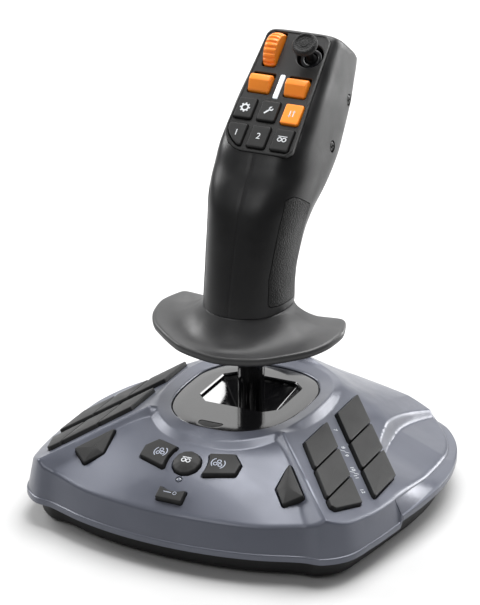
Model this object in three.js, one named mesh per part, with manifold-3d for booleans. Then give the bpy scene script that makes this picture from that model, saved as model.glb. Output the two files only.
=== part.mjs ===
// Desktop joystick: a grip with thumb controls on a gimbal, over a base with two side button banks.
// Millimetres, +Z up, +Y towards the rear. Sizes are given with the middle of the collar at x = 0, y = 0 and
// the surface that the feet stand on at z = 0. The last lines move the whole to the middle of its box.
import * as THREE from 'three';
import { mergeVertices } from 'three/addons/utils/BufferGeometryUtils.js';
import Module from 'manifold-3d';

const wasm = await Module();
wasm.setup();

// ---------------------------------------------------------------- driving dimensions
const GAP = 0.35;                       // clearance between neighbouring solids
const HOUSING = { bottom: 13, step: 3.4, lip: 3.4, wall: 2.6, rimDrop: 0.8, angles: 128 };
const OUTLINE_SAMPLES = 720;
const OPENING_Z = 57.3;
const AXIS_Y = 8.5;                     // the stick's upright axis, behind the middle of the collar
const COLLAR = { top: 7.5, foot: 12.0 };
const COVER = { z: 56.5, thick: 2.0, edgeGap: 0.6, halfX: 23.5, halfY: 21.5, corner: 6.5 };
const BASE = { foot: 1.5, floor: 5.0, skirtTop: 15.5, inset: 8.0, wall: 2.4 };
const PIVOT = 30;                       // height of the gimbal's two crossed axes
const SHAFT = { radius: 7.4, top: 136 };
const REST = { neck: 111.3, base: 94.2, hole: 11.5 };
const GRIP_WALL = 2.8;
const BUTTON_TRAVEL_ROOM = 0.5;         // side clearance of a button in its hole

// Right half of the collar's opening, from the front centre round to the rear centre.
const OPENING = [
  [0, -45.1], [10, -44.6], [19.5, -40.6], [28.8, -31.2], [33.6, -20], [35.8, -6.5], [36.2, 7], [35.4, 20],
  [32.6, 28], [27.5, 36], [18, 42], [9, 44.4], [0, 45],
];
// Right half of the housing's upper edge.
const RIM = [
  [0, -98], [26, -96.3], [50, -91.5], [73, -83.5], [82, -82.5], [91.5, -73.6], [96.5, -58], [98.8, -47],
  [100.4, -34], [101.2, -20], [101.9, -5], [102.2, 15], [101.9, 33], [100.6, 48], [96.8, 61], [90, 73],
  [81, 83.5], [68, 91], [46, 95], [22, 97], [0, 97.6],
];
// Right half of its lower edge.
const FOOT = [
  [0, -101.6], [27, -99.8], [51, -95], [74.5, -87], [84, -85.5], [94.8, -75.4], [100.7, -54], [105.1, -29],
  [108.6, -6.5], [110, 14], [109.3, 31], [106.5, 46], [101.5, 62], [94, 76], [84, 87.5], [70, 95], [47, 99],
  [22, 101], [0, 101.6],
];

// Face plate: origin at its lower edge, u across, v up the plate, n out of it.
const FACE = {
  origin: new THREE.Vector3(0, 11.65, 195.1),
  u: new THREE.Vector3(1, 0, 0),
  v: new THREE.Vector3(0, 0.767, 0.6417),
  n: new THREE.Vector3(0, -0.6417, 0.767),
};
const PLATE = { halfLow: 21.5, halfHigh: 18.6, low: -1.2, high: 76.6, thick: 2.4 };

// Grip stations: front point and rear point (y, z), half width, and how square the section is.
const GRIP = [
  [-21.5, 111.7, 32.7, 111.7, 23.1, 2.3], [-20.0, 121, 32.7, 122, 23.1, 2.3],
  [-17.7, 131, 34.1, 131.5, 23.2, 2.4], [-15.4, 140.5, 37.5, 140, 23.7, 2.5],
  [-12.9, 150.5, 42.7, 149, 24.3, 2.6], [-9.9, 160, 51.2, 157.5, 25.3, 2.8],
  [-6.6, 168.5, 61.4, 165, 26.7, 3.0], [-1.4, 177, 70.6, 173, 27.4, 3.3],
  [5.2, 185, 78.1, 181, 27.5, 3.6], [11.65, 195.1, 84.2, 188.5, 26.7, 4.0],
  [23.9, 205.4, 89.4, 196.5, 25.9, 4.5], [36.2, 215.6, 93.7, 203.5, 25.1, 5.0],
  [48.5, 225.9, 98.3, 210, 23.9, 5.0], [60.7, 236.2, 102.8, 217.1, 22.9, 5.0],
  [71.4, 245.1, 105.7, 222.8, 22.2, 4.5],
];

const COLOURS = {
  housing: [0x77809a, 0.45, 0.1], black: [0x141414, 0.6, 0], gloss: [0x0a0a0a, 0.12, 0],
  key: [0x46443f, 0.6, 0], grip: [0x17171a, 0.5, 0], rubber: [0x1c1c1c, 0.9, 0],
  orange: [0xf06a1e, 0.4, 0], steel: [0xb4b6ba, 0.3, 1],
  board: [0x1f5a3a, 0.5, 0], light: [0xf4f6f8, 0.3, 0], nylon: [0xe6e2d6, 0.5, 0],
};

// ---------------------------------------------------------------- solids
function signedVolume(position, index) {
  let volume = 0;
  const a = new THREE.Vector3();
  const b = new THREE.Vector3();
  const c = new THREE.Vector3();
  for (let i = 0; i < index.length; i += 3) {
    a.fromBufferAttribute(position, index[i]);
    b.fromBufferAttribute(position, index[i + 1]);
    c.fromBufferAttribute(position, index[i + 2]);
    volume += a.dot(b.cross(c)) / 6;
  }
  return volume;
}

// Merges shared vertices and turns the faces outward.
function closed(geometry) {
  geometry.deleteAttribute('normal');
  geometry.deleteAttribute('uv');
  const merged = mergeVertices(geometry, 1e-4);
  const index = Array.from(merged.index.array);
  if (signedVolume(merged.attributes.position, index) < 0) {
    index.reverse();
    merged.setIndex(index);
  }
  return merged;
}

function solid(geometry) {
  const merged = closed(geometry.clone());
  return new wasm.Manifold(new wasm.Mesh({
    numProp: 3,
    vertProperties: new Float32Array(merged.attributes.position.array),
    triVerts: new Uint32Array(merged.index.array),
  }));
}

function fromSolid(manifold) {
  const mesh = manifold.getMesh();
  const geometry = new THREE.BufferGeometry();
  geometry.setAttribute('position', new THREE.BufferAttribute(new Float32Array(mesh.vertProperties), 3));
  geometry.setIndex(Array.from(mesh.triVerts));
  return geometry;
}

function cut(geometry, ...tools) {
  return fromSolid(tools.reduce((body, tool) => body.subtract(solid(tool)), solid(geometry)));
}

function join(...geometries) {
  return fromSolid(geometries.map(solid).reduce((body, other) => body.add(other)));
}

function common(a, b) {
  return fromSolid(solid(a).intersect(solid(b)));
}

// A skin over loops of points. Loops are joined in turn; capped at both ends, or closed into a ring.
function loft(loops, ring = false) {
  const count = loops[0].length;
  const positions = loops.flat().flatMap((p) => [p.x, p.y, p.z]);
  const index = [];
  const bands = ring ? loops.length : loops.length - 1;
  for (let k = 0; k < bands; k += 1) {
    const here = k * count;
    const next = ((k + 1) % loops.length) * count;
    for (let i = 0; i < count; i += 1) {
      const j = (i + 1) % count;
      index.push(here + i, here + j, next + j, here + i, next + j, next + i);
    }
  }
  if (!ring) {
    [loops[0], loops[loops.length - 1]].forEach((loop, end) => {
      const centre = loop.reduce((sum, p) => sum.add(p), new THREE.Vector3()).divideScalar(count);
      const hub = positions.length / 3;
      positions.push(centre.x, centre.y, centre.z);
      const start = end === 0 ? 0 : (loops.length - 1) * count;
      for (let i = 0; i < count; i += 1) {
        const j = (i + 1) % count;
        if (end === 0) index.push(hub, start + j, start + i);
        else index.push(hub, start + i, start + j);
      }
    });
  }
  const geometry = new THREE.BufferGeometry();
  geometry.setAttribute('position', new THREE.Float32BufferAttribute(positions, 3));
  geometry.setIndex(index);
  return geometry;
}

function box(x, y, z, cx = 0, cy = 0, cz = 0) {
  return new THREE.BoxGeometry(x, y, z).translate(cx, cy, cz);
}

function rod(radius, length, axis = 'z', sides = 20) {
  const geometry = new THREE.CylinderGeometry(radius, radius, length, sides);
  if (axis === 'z') geometry.rotateX(Math.PI / 2);
  if (axis === 'x') geometry.rotateZ(Math.PI / 2);
  return geometry;
}

// A shape extruded along n of a frame (origin, u, v, n), from one height to another.
function prism(frame, points, from, to) {
  const shape = new THREE.Shape(points.map(([u, v]) => new THREE.Vector2(u, v)));
  const geometry = new THREE.ExtrudeGeometry(shape, { depth: to - from, bevelEnabled: false });
  geometry.translate(0, 0, from);
  const basis = new THREE.Matrix4().makeBasis(frame.u, frame.v, frame.n).setPosition(frame.origin);
  return geometry.applyMatrix4(basis);
}

// Moves every edge of an outline outward by the same distance.
function offset(points, by) {
  const area = points.reduce((sum, p, i) => {
    const q = points[(i + 1) % points.length];
    return sum + p[0] * q[1] - q[0] * p[1];
  }, 0);
  const side = Math.sign(area) * by;
  const edges = points.map((p, i) => {
    const q = points[(i + 1) % points.length];
    const length = Math.hypot(q[0] - p[0], q[1] - p[1]);
    const normal = [(q[1] - p[1]) / length, -(q[0] - p[0]) / length];
    return { normal, reach: normal[0] * p[0] + normal[1] * p[1] + side };
  });
  return edges.map((edge, i) => {
    const before = edges[(i + edges.length - 1) % edges.length];
    const det = before.normal[0] * edge.normal[1] - before.normal[1] * edge.normal[0];
    return [
      (before.reach * edge.normal[1] - edge.reach * before.normal[1]) / det,
      (before.normal[0] * edge.reach - edge.normal[0] * before.reach) / det,
    ];
  });
}

const circle = (radius, count, cx = 0, cy = 0) => Array.from({ length: count }, (_, i) => {
  const angle = (2 * Math.PI * i) / count;
  return [cx + radius * Math.cos(angle), cy + radius * Math.sin(angle)];
});

// ---------------------------------------------------------------- scene graph
const joystick = new THREE.Group();

function piece(name, geometry, colour) {
  const [hex, roughness, metalness] = COLOURS[colour];
  const material = new THREE.MeshStandardMaterial({ color: hex, roughness, metalness });
  const mesh = new THREE.Mesh(closed(geometry), material);
  mesh.name = name;
  joystick.add(mesh);
  return mesh;
}

// ---------------------------------------------------------------- shape of the base
function superellipse(angle, halfX, halfY, power) {
  const c = Math.abs(Math.cos(angle)) / halfX;
  const s = Math.abs(Math.sin(angle)) / halfY;
  return (c ** power + s ** power) ** (-1 / power);
}

// Radius of a closed outline, given by its right half, at any angle about the collar's middle.
function outlineRadius(rightHalf) {
  const leftHalf = rightHalf.slice(1, -1).reverse().map(([x, y]) => [-x, y]);
  const corners = [...rightHalf, ...leftHalf].map(([x, y]) => new THREE.Vector3(x, y, 0));
  const samples = new THREE.CatmullRomCurve3(corners, true).getPoints(OUTLINE_SAMPLES).slice(0, -1)
    .map((p) => ({ angle: Math.atan2(p.y, p.x), radius: Math.hypot(p.x, p.y) }))
    .sort((a, b) => a.angle - b.angle);
  const turn = 2 * Math.PI;
  return (angle) => {
    const wrapped = Math.atan2(Math.sin(angle), Math.cos(angle));
    const after = samples.findIndex((s) => s.angle >= wrapped);
    const b = samples[after < 0 ? 0 : after];
    const a = samples[(after <= 0 ? samples.length : after) - 1];
    const span = (b.angle - a.angle + turn) % turn;
    const t = ((wrapped - a.angle + turn) % turn) / (span || 1);
    return a.radius + (b.radius - a.radius) * Math.min(t, 1);
  };
}
const openingRadius = outlineRadius(OPENING);
const rimRadius = outlineRadius(RIM);
const footRadius = outlineRadius(FOOT);

const clamp01 = (t) => Math.min(1, Math.max(0, t));
const smooth = (t) => clamp01(t) ** 2 * (3 - 2 * clamp01(t));

// The faces that bound the top: front deck, ramp up to the wing, and wing.
function deckHeight(x, y) {
  const across = Math.max(0, 1 - (x / 75) ** 2) ** 2;
  const along = Math.max(0, 1 - ((y + 75) / 38) ** 2);
  return 25 + 0.502 * (y + 97) + 9 * across * along;
}
const rampHeight = (x, y) => 31.6 + 0.318 * (x - 72.7) + 0.8 * (y + 82.9);
// The wing is flat under its buttons and falls away behind them.
function wingHeight(x, y) {
  const fallStart = 38 - 0.55 * Math.max(0, x - 60);
  const fall = 0.215 + 0.0055 * Math.max(0, 78 - x);
  return 78 - 0.49 * x - fall * Math.max(0, y - fallStart);
}
// The lobe is a lower shelf at the wing's outer rear, with a step up to the wing.
const lobeHeight = (x, y) => 32.7 - 0.38 * (x - 74) - (y < 44 ? 0.05 : 0.17) * (y - 44);
const ledgeEdge = (y) => 70.4 + 0.0035 * (y - 50) ** 2;
const LEDGE_RUN = 3.5;

function plateHeight(x, y) {
  const side = Math.abs(x);
  const front = Math.max(deckHeight(side, y), rampHeight(side, y));
  const wing = wingHeight(side, y);
  const sink = Math.max(0, wing - lobeHeight(side, y));
  const share = smooth((side - ledgeEdge(y)) / LEDGE_RUN) * smooth((y + 25) / 45);
  return Math.min(front, wing - sink * share);
}

function topHeight(angle, radius) {
  const x = radius * Math.cos(angle);
  const y = radius * Math.sin(angle);
  const out = radius - openingRadius(angle);
  const frontness = Math.max(0, -Math.sin(angle)) ** 3;
  const crest = OPENING_Z + COLLAR.top * (0.2 - 0.6 * frontness);
  if (out <= COLLAR.top) return OPENING_Z + (crest - OPENING_Z) * (out / COLLAR.top);
  if (out >= COLLAR.foot) return plateHeight(x, y);
  const t = (out - COLLAR.top) / (COLLAR.foot - COLLAR.top);
  return crest + (plateHeight(x, y) - crest) * t;
}

function ringOf(radiusAt, heightAt, count = HOUSING.angles) {
  return Array.from({ length: count }, (_, i) => {
    const angle = (2 * Math.PI * (i + 0.5)) / count;
    const radius = radiusAt(angle);
    return new THREE.Vector3(radius * Math.cos(angle), radius * Math.sin(angle), heightAt(angle, radius));
  });
}

// The lower edge steps up behind the side seam.
function bottomHeight(angle, radius) {
  return HOUSING.bottom + HOUSING.step * smooth((radius * Math.sin(angle) + 30) / 4);
}
const bandStarts = [0.12, 0.25, 0.38, 0.5, 0.62, 0.72, 0.82, 0.92];

function housingShell() {
  const spread = (t) => (angle) => {
    const foot = openingRadius(angle) + COLLAR.foot;
    return foot + (rimRadius(angle) - foot) * t;
  };
  const wallRadius = (t) => (angle) => rimRadius(angle) + (footRadius(angle) - rimRadius(angle)) * t;
  const outer = [
    ringOf(openingRadius, () => OPENING_Z),
    ringOf((a) => openingRadius(a) + COLLAR.top, topHeight),
    ringOf(spread(0), topHeight),
    ...bandStarts.map((t) => ringOf(spread(t), topHeight)),
    ringOf(rimRadius, (a, r) => topHeight(a, r) - HOUSING.rimDrop),
    ringOf(wallRadius(0.8), (a, r) => bottomHeight(a, r) + HOUSING.lip),
    ringOf(footRadius, (a, r) => bottomHeight(a, r) + 0.8 * HOUSING.lip),
    ringOf(footRadius, bottomHeight),
  ];
  const inset = HOUSING.wall + 1.2;
  const inner = [
    ringOf((a) => footRadius(a) - HOUSING.wall, bottomHeight),
    ringOf((a) => rimRadius(a) - inset, (a, r) => topHeight(a, r + inset) - HOUSING.rimDrop - inset),
    ...[...bandStarts].reverse().map((t) => ringOf(spread(t), (a, r) => topHeight(a, r) - inset)),
    ringOf(spread(0), (a, r) => topHeight(a, r) - inset),
    ringOf(openingRadius, () => OPENING_Z - HOUSING.wall),
  ];
  return loft([...outer, ...inner], true);
}

// ---------------------------------------------------------------- buttons of the base
const wingFrame = (side) => {
  const slope = Math.hypot(1, 0.49);
  return {
    origin: new THREE.Vector3(0, 0, 78),
    u: new THREE.Vector3(side / slope, 0, -0.49 / slope),
    v: new THREE.Vector3(0, side, 0),
    n: new THREE.Vector3((side * 0.49) / slope, 0, 1 / slope),
    slope,
    side,
  };
};

// Corner points of the banks in plan (x, y), on the right wing.
const line = (x0, y0, x1, y1) => (x) => y0 + ((x - x0) * (y1 - y0)) / (x1 - x0);
const BANKS = [
  {
    inner: line(51, -35, 80.5, -69),
    outer: line(51.5, -6.5, 91.2, -51),
    stops: [51, 64, 78, 89.5],
    nose: true,
  },
  {
    inner: line(51.3, 6.8, 92.7, -39),
    outer: line(52.9, 33, 94.7, -12.7),
    stops: [51.5, 66.5, 80, 93.5],
  },
];
const BANK_SPLIT = 0.35;

function bankOutline(bank, index) {
  const from = bank.stops[index] + (index ? BANK_SPLIT : 0);
  const to = bank.stops[index + 1] - (index < 2 ? BANK_SPLIT : 0);
  if (bank.nose && index === 2) {
    return [[from, bank.inner(from)], [81.5, -70], [84, -69.5], [91, -51], [from, bank.outer(from)]];
  }
  return [[from, bank.inner(from)], [to, bank.inner(to)], [to, bank.outer(to)], [from, bank.outer(from)]];
}

// A vertical plan outline carried on to the wing's plane.
const onWing = (frame, points) => points.map(([x, y]) => [x * frame.slope, frame.side * y]);

function planeFrame(origin, slopeX, slopeY) {
  const n = new THREE.Vector3(-slopeX, -slopeY, 1).normalize();
  const u = new THREE.Vector3(1, 0, slopeX).normalize();
  const v = new THREE.Vector3().crossVectors(n, u);
  return { origin, u, v, n };
}

// Plan points carried on to a sloping plane through its origin.
function onPlane(frame, points) {
  return points.map(([x, y]) => {
    const dx = x - frame.origin.x;
    const dy = y - frame.origin.y;
    const dz = -(frame.n.x * dx + frame.n.y * dy) / frame.n.z;
    const p = new THREE.Vector3(dx, dy, dz);
    return [p.dot(frame.u), p.dot(frame.v)];
  });
}

const mirrored = (points, side) => points.map(([x, y]) => [side * x, y]);
const DEPTH = 8;
const PROUD = 2.4;

const baseButtons = [];
for (const [name, side] of [['right', 1], ['left', -1]]) {
  const frame = wingFrame(side);
  let number = 1;
  for (const bank of BANKS) {
    for (let index = 0; index < 3; index += 1) {
      const outline = onWing(frame, bankOutline(bank, index));
      baseButtons.push({ name: `${name}_bank_button_${number}`, frame, outline, top: PROUD });
      number += 1;
    }
  }
  const leafFrame = planeFrame(new THREE.Vector3(side * 58, -67.5, 41.2), side * 0.12, 0.56);
  const leaf = mirrored([[51.3, -52.4], [50.9, -67.8], [58.3, -76.2], [67.4, -70.2]], side);
  const leafOutline = onPlane(leafFrame, leaf);
  baseButtons.push({ name: `leaf_button_${name}`, frame: leafFrame, outline: leafOutline, top: 3 });
  const wedgeFrame = planeFrame(new THREE.Vector3(side * 19, -67, 46.3), side * -0.1, 0.36);
  const wedge = mirrored([[9.2, -61.9], [22, -57.6], [27.8, -62.9], [27.7, -70], [11, -76.2], [11.6, -72.6],
    [11.6, -68.7], [10.8, -65.1]], side);
  const wedgeOutline = onPlane(wedgeFrame, wedge);
  baseButtons.push({ name: `cluster_button_${name}`, frame: wedgeFrame, outline: wedgeOutline, top: 3 });
}
const centreFrame = planeFrame(new THREE.Vector3(0, -70.6, 46.9), 0, 0.5);
baseButtons.push({ name: 'centre_button', frame: centreFrame, outline: circle(7.7, 24), top: 2.6 });
const startFrame = planeFrame(new THREE.Vector3(0, -89.5, 36.6), 0, 0.56);
const startOutline = [[-7.5, -3.7], [7.5, -3.7], [7.4, 3.9], [3.7, 2.4], [0, 1.9], [-3.7, 2.4], [-7.4, 3.9]];
baseButtons.push({ name: 'start_button', frame: startFrame, outline: startOutline, top: 2.4 });

const buttonHoles = baseButtons.map(({ frame, outline }) => {
  return prism(frame, offset(outline, BUTTON_TRAVEL_ROOM), -DEPTH - 6, 12);
});

const lensFrame = planeFrame(new THREE.Vector3(0, -80.3, 42.2), 0, 0.56);
const lensHole = prism(lensFrame, circle(1.75, 12), -8, 8);
const glandHole = rod(4.9, 24, 'y').translate(0, 97, 19.6);

piece('upper_housing', cut(housingShell(), ...buttonHoles, lensHole, glandHole), 'housing');
for (const { name, frame, outline, top } of baseButtons) {
  piece(name, prism(frame, outline, -DEPTH, top), 'key');
}
piece('indicator_lens', prism(lensFrame, circle(1.4, 12), -3, 0.1), 'light');

// ---------------------------------------------------------------- base plate, feet and gland
function baseTray() {
  const edge = (by) => (a) => footRadius(a) - BASE.inset - by;
  const at = (z) => () => z;
  const count = 64;
  return loft([
    ringOf(edge(1.5), at(BASE.foot + GAP), count),
    ringOf(edge(0), at(BASE.foot + GAP + 1.5), count),
    ringOf(edge(0), at(BASE.skirtTop), count),
    ringOf(edge(BASE.wall), at(BASE.skirtTop), count),
    ringOf(edge(BASE.wall), at(BASE.floor), count),
  ]);
}
piece('base_plate', baseTray(), 'black');
for (const [end, y] of [['front', -62], ['rear', 66]]) {
  for (const [name, side] of [['right', 1], ['left', -1]]) {
    const foot = rod(10, BASE.foot, 'z', 24).translate(side * 62, y, BASE.foot / 2);
    piece(`foot_${end}_${name}`, foot, 'rubber');
  }
}
const glandProfile = [[2, 0], [4.4, 0], [4.4, 6], [3.6, 7.2], [2, 7.2], [2, 0]]
  .map(([r, z]) => new THREE.Vector2(r, z));
const gland = new THREE.LatheGeometry(glandProfile, 20).translate(0, 94.2, 19.6);
piece('cable_gland', gland, 'black');
const board = cut(
  box(84, 40, 1.6, 0, 58, BASE.floor + GAP + 0.8),
  ...[-38, 38].map((x) => rod(1.6, 6).translate(x, 74, BASE.floor)),
);
piece('main_board', board, 'board');

// ---------------------------------------------------------------- gimbal
function coverPlate() {
  const outline = ringOf((a) => openingRadius(a) - COVER.edgeGap, () => 0, 72).map((p) => [p.x, p.y]);
  const frame = planeFrame(new THREE.Vector3(0, 0, COVER.z), 0, 0);
  return cut(prism(frame, outline, -COVER.thick, 0), prism(frame, coverMouth, -9, 9));
}
function coverOpening(grow) {
  const x = COVER.halfX + grow;
  const y = COVER.halfY + grow;
  const c = COVER.corner;
  return [[x, y - c], [x - c, y], [c - x, y], [-x, y - c], [-x, c - y], [c - x, -y], [x - c, -y], [x, c - y]];
}
const coverMouth = coverOpening(0).map(([x, y]) => [x, y + AXIS_Y]);
piece('gimbal_cover', coverPlate(), 'gloss');

function bowlLoop(points, z) {
  return points.map(([x, y]) => new THREE.Vector3(x, y, z));
}
function gimbalBowl() {
  const top = COVER.z - COVER.thick - GAP;
  const round = (radius) => coverOpening(0).map(([x, y]) => {
    const reach = Math.hypot(x, y);
    return [(x / reach) * radius, (y / reach) * radius];
  });
  return loft([
    bowlLoop(coverOpening(0.5), top), bowlLoop(round(14), 40), bowlLoop(round(15.5), 38.6),
    bowlLoop(coverOpening(2.2), top - 2), bowlLoop(coverOpening(5), top - 2), bowlLoop(coverOpening(5), top),
  ], true);
}
const toAxis = (geometry) => geometry.translate(0, AXIS_Y, 0);
piece('gimbal_bowl', toAxis(gimbalBowl()), 'gloss');

const EAR = { x: 31, thick: 4, width: 18, top: 37 };
function gimbalFrame() {
  const foot = BASE.floor + GAP;
  const parts = [box(2 * EAR.x + EAR.thick, 34, 3, 0, 0, foot + 1.5)];
  for (const side of [-1, 1]) {
    parts.push(box(EAR.thick, EAR.width, EAR.top - foot, side * EAR.x, 0, (EAR.top + foot) / 2));
  }
  return cut(join(...parts), rod(4.4, 90, 'x').translate(0, 0, PIVOT));
}
piece('gimbal_frame', toAxis(gimbalFrame()), 'steel');

function pitchYoke() {
  const ring = cut(box(46, 42, 10, 0, 0, PIVOT), box(30, 30, 20, 0, 0, PIVOT));
  const withPins = join(ring, ...[-1, 1].map((side) => rod(4, 13, 'x').translate(side * 28.8, 0, PIVOT)));
  return cut(withPins, rod(3.4, 60, 'y', 16).translate(0, 0, PIVOT));
}
piece('pitch_yoke', toAxis(pitchYoke()), 'steel');
piece('roll_carrier', toAxis(cut(
  join(box(21, 21, 12, 0, 0, PIVOT), rod(3, 46, 'y', 16).translate(0, 0, PIVOT)),
  rod(4, 20, 'z', 16).translate(0, 0, PIVOT + 10),
)), 'steel');
const shaftFoot = PIVOT + 6 + GAP;
const shaftSolid = cut(
  join(
    rod(SHAFT.radius, SHAFT.top - shaftFoot, 'z', 32).translate(0, 0, (SHAFT.top + shaftFoot) / 2),
    new THREE.CylinderGeometry(14.5, SHAFT.radius, 9, 32).rotateX(Math.PI / 2).translate(0, 0, 88),
  ),
  rod(4, 130, 'z', 16).translate(0, 0, 95),
);
piece('shaft', toAxis(shaftSolid), 'gloss');
function sensor(length, width, height) {
  return cut(box(length, width, height), box(length / 3, width / 3, height * 2));
}
const SENSOR_GAP = 4.5;
const besideEar = EAR.x + EAR.thick / 2 + SENSOR_GAP;
piece('pitch_sensor', sensor(1.6, 16, 16).translate(besideEar, AXIS_Y, PIVOT), 'board');
piece('roll_sensor', sensor(16, 1.6, 11).translate(0, AXIS_Y + 24.5, PIVOT), 'board');

function coilSpring(radius, wire, from, to, turns) {
  class Helix extends THREE.Curve {
    getPoint(t, target = new THREE.Vector3()) {
      const angle = 2 * Math.PI * turns * t;
      return target.set(radius * Math.cos(angle), radius * Math.sin(angle), from + (to - from) * t);
    }
  }
  const section = new THREE.Shape(circle(wire, 6).map(([x, y]) => new THREE.Vector2(x, y)));
  const options = { steps: turns * 14, bevelEnabled: false, extrudePath: new Helix() };
  return new THREE.ExtrudeGeometry(section, options);
}
piece('centring_spring', toAxis(coilSpring(8, 0.9, BASE.floor + 4.6, 18.2, 4)), 'steel');

// ---------------------------------------------------------------- hand rest
function restOutline() {
  const half = [[0, -38], [24, -33], [45, -18.5], [52.5, -6.5], [54.6, 8], [50, 22], [44, 24.2], [20, 24.6],
    [0, 24.6]];
  const all = [...half, ...half.slice(1, -1).reverse().map(([x, y]) => [-x, y])];
  const corners = all.map(([x, y]) => new THREE.Vector3(x, y, 0));
  const curve = new THREE.CatmullRomCurve3(corners, true, 'catmullrom', 0.35);
  return curve.getPoints(48).slice(0, -1);
}
const rimLift = (x, y) => 95.3 + 0.0011 * x * x + 0.075 * (y + 38);
function handRest() {
  const edge = restOutline();
  const centreY = 5.3;
  const ringAt = (t, heightAt) => edge.map((p) => {
    const angle = Math.atan2((p.y - centreY) / 27, p.x / 24);
    const neck = new THREE.Vector3(23.6 * Math.cos(angle), centreY + 26.8 * Math.sin(angle), REST.neck);
    const x = neck.x + (p.x - neck.x) * t;
    const y = neck.y + (p.y - neck.y) * t;
    return new THREE.Vector3(x, y, heightAt(p, t));
  });
  const flare = (p, t) => rimLift(p.x, p.y) + (REST.neck - rimLift(p.x, p.y)) * (1 - t) ** 3;
  const below = (by) => (p) => rimLift(p.x, p.y) - by;
  const hole = (radius, z) => edge.map((p) => {
    const angle = Math.atan2((p.y - centreY) / 27, p.x / 24);
    return new THREE.Vector3(radius * Math.cos(angle), AXIS_Y + radius * Math.sin(angle), z);
  });
  return loft([
    ringAt(0, () => REST.neck), ringAt(0.12, flare), ringAt(0.35, flare), ringAt(0.65, flare),
    ringAt(0.94, flare), ringAt(1, below(1.6)), ringAt(0.98, below(4.2)), ringAt(0.6, below(2.6)),
    hole(19, REST.base), hole(REST.hole, REST.base), hole(REST.hole, REST.neck),
  ], true);
}
piece('hand_rest', handRest(), 'grip');

// ---------------------------------------------------------------- grip
function gripStation([fy, fz, ry, rz, half, power], shrink, count) {
  const axis = new THREE.Vector3(0, ry - fy, rz - fz);
  const depth = axis.length() / 2;
  axis.normalize();
  const centre = new THREE.Vector3(0, (fy + ry) / 2, (fz + rz) / 2);
  return Array.from({ length: count }, (_, i) => {
    const angle = (2 * Math.PI * (i + 0.5)) / count;
    const radius = superellipse(angle, half - shrink, depth - shrink, power);
    const across = radius * Math.cos(angle);
    return centre.clone().addScaledVector(axis, radius * Math.sin(angle)).setX(across);
  });
}
const gripBody = (shrink, count = 28) => loft(GRIP.map((station) => gripStation(station, shrink, count)));
function gripCavity() {
  const stations = GRIP.map((s) => [...s]);
  stations[0] = [-21.5, 107, 32.1, 107, 23.6, 2.3];
  const last = stations[stations.length - 1];
  const inward = 2.6;
  last[0] -= inward * 0.767;
  last[1] -= inward * 0.6417;
  last[2] -= inward * 0.767;
  last[3] -= inward * 0.6417;
  return loft(stations.map((s) => gripStation(s, GRIP_WALL, 24)));
}

// Side view of a textured pad (y, z), from its lower front corner upward.
const PAD = [[-11, 116.5], [-9.2, 132], [-4.8, 148], [-0.8, 161], [3.5, 172.5], [8.6, 173.6], [13.5, 171],
  [26.5, 163.8], [22, 147], [19, 131], [17.6, 114.5]];
const padFrame = (side) => ({
  origin: new THREE.Vector3(0, 0, 0),
  u: new THREE.Vector3(0, side, 0),
  v: new THREE.Vector3(0, 0, 1),
  n: new THREE.Vector3(side, 0, 0),
});
const padOutline = (side, grow) => offset(PAD, grow).map(([y, z]) => [side * y, z]);

const faceItem = (points, from, to) => prism(FACE, points, from, to);
// Outline of the face plate, with a wide lower left corner and a tight lower right one.
const plateOutline = (grow) => offset([
  [-8, PLATE.low], [18, PLATE.low], [PLATE.halfLow, PLATE.low + 3.5], [PLATE.halfHigh, PLATE.high - 3],
  [PLATE.halfHigh - 3, PLATE.high], [3 - PLATE.halfHigh, PLATE.high], [-PLATE.halfHigh, PLATE.high - 3],
  [-PLATE.halfLow + 0.4, 14], [-20.2, 8.6], [-16.8, 3.2], [-12, 0],
], grow);

const headScrews = [
  { name: 'lower', at: new THREE.Vector3(26.9, 53.9, 188.1) },
  { name: 'upper', at: new THREE.Vector3(24.8, 80.8, 206.3) },
];

function gripShells() {
  const pocket = faceItem(plateOutline(0.3), -PLATE.thick - 0.3, 6);
  const window = faceItem(plateOutline(-1.2), -9, 6);
  let shell = cut(gripBody(0), gripCavity(), pocket, window);
  for (const side of [-1, 1]) {
    const region = prism(padFrame(side), padOutline(side, 0.3), 10, 40);
    shell = cut(shell, cut(region, gripBody(1.3)));
  }
  for (const { at } of headScrews) shell = cut(shell, rod(3.4, 12, 'x', 16).translate(at.x, at.y, at.z));
  const halfSpace = (side) => box(60, 240, 220, side * (30 + GAP / 2), 40, 180);
  return { left: common(shell, halfSpace(-1)), right: common(shell, halfSpace(1)) };
}
const shells = gripShells();
piece('grip_left', shells.left, 'grip');
piece('grip_right', shells.right, 'grip');
for (const [name, side] of [['right', 1], ['left', -1]]) {
  const region = prism(padFrame(side), padOutline(side, 0), 10, 40);
  piece(`grip_pad_${name}`, cut(common(region, gripBody(-0.1)), gripBody(1.0)), 'rubber');
}
for (const { name, at } of headScrews) {
  const screw = cut(
    join(rod(2.7, 2.2, 'x', 16), rod(1.4, 7, 'x', 12).translate(-4, 0, 0)),
    box(2, 0.9, 3.4, 1.6, 0, 0),
    box(2, 3.4, 0.9, 1.6, 0, 0),
  );
  piece(`head_screw_${name}`, screw.translate(at.x - 1.2, at.y, at.z), 'steel');
}

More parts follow.
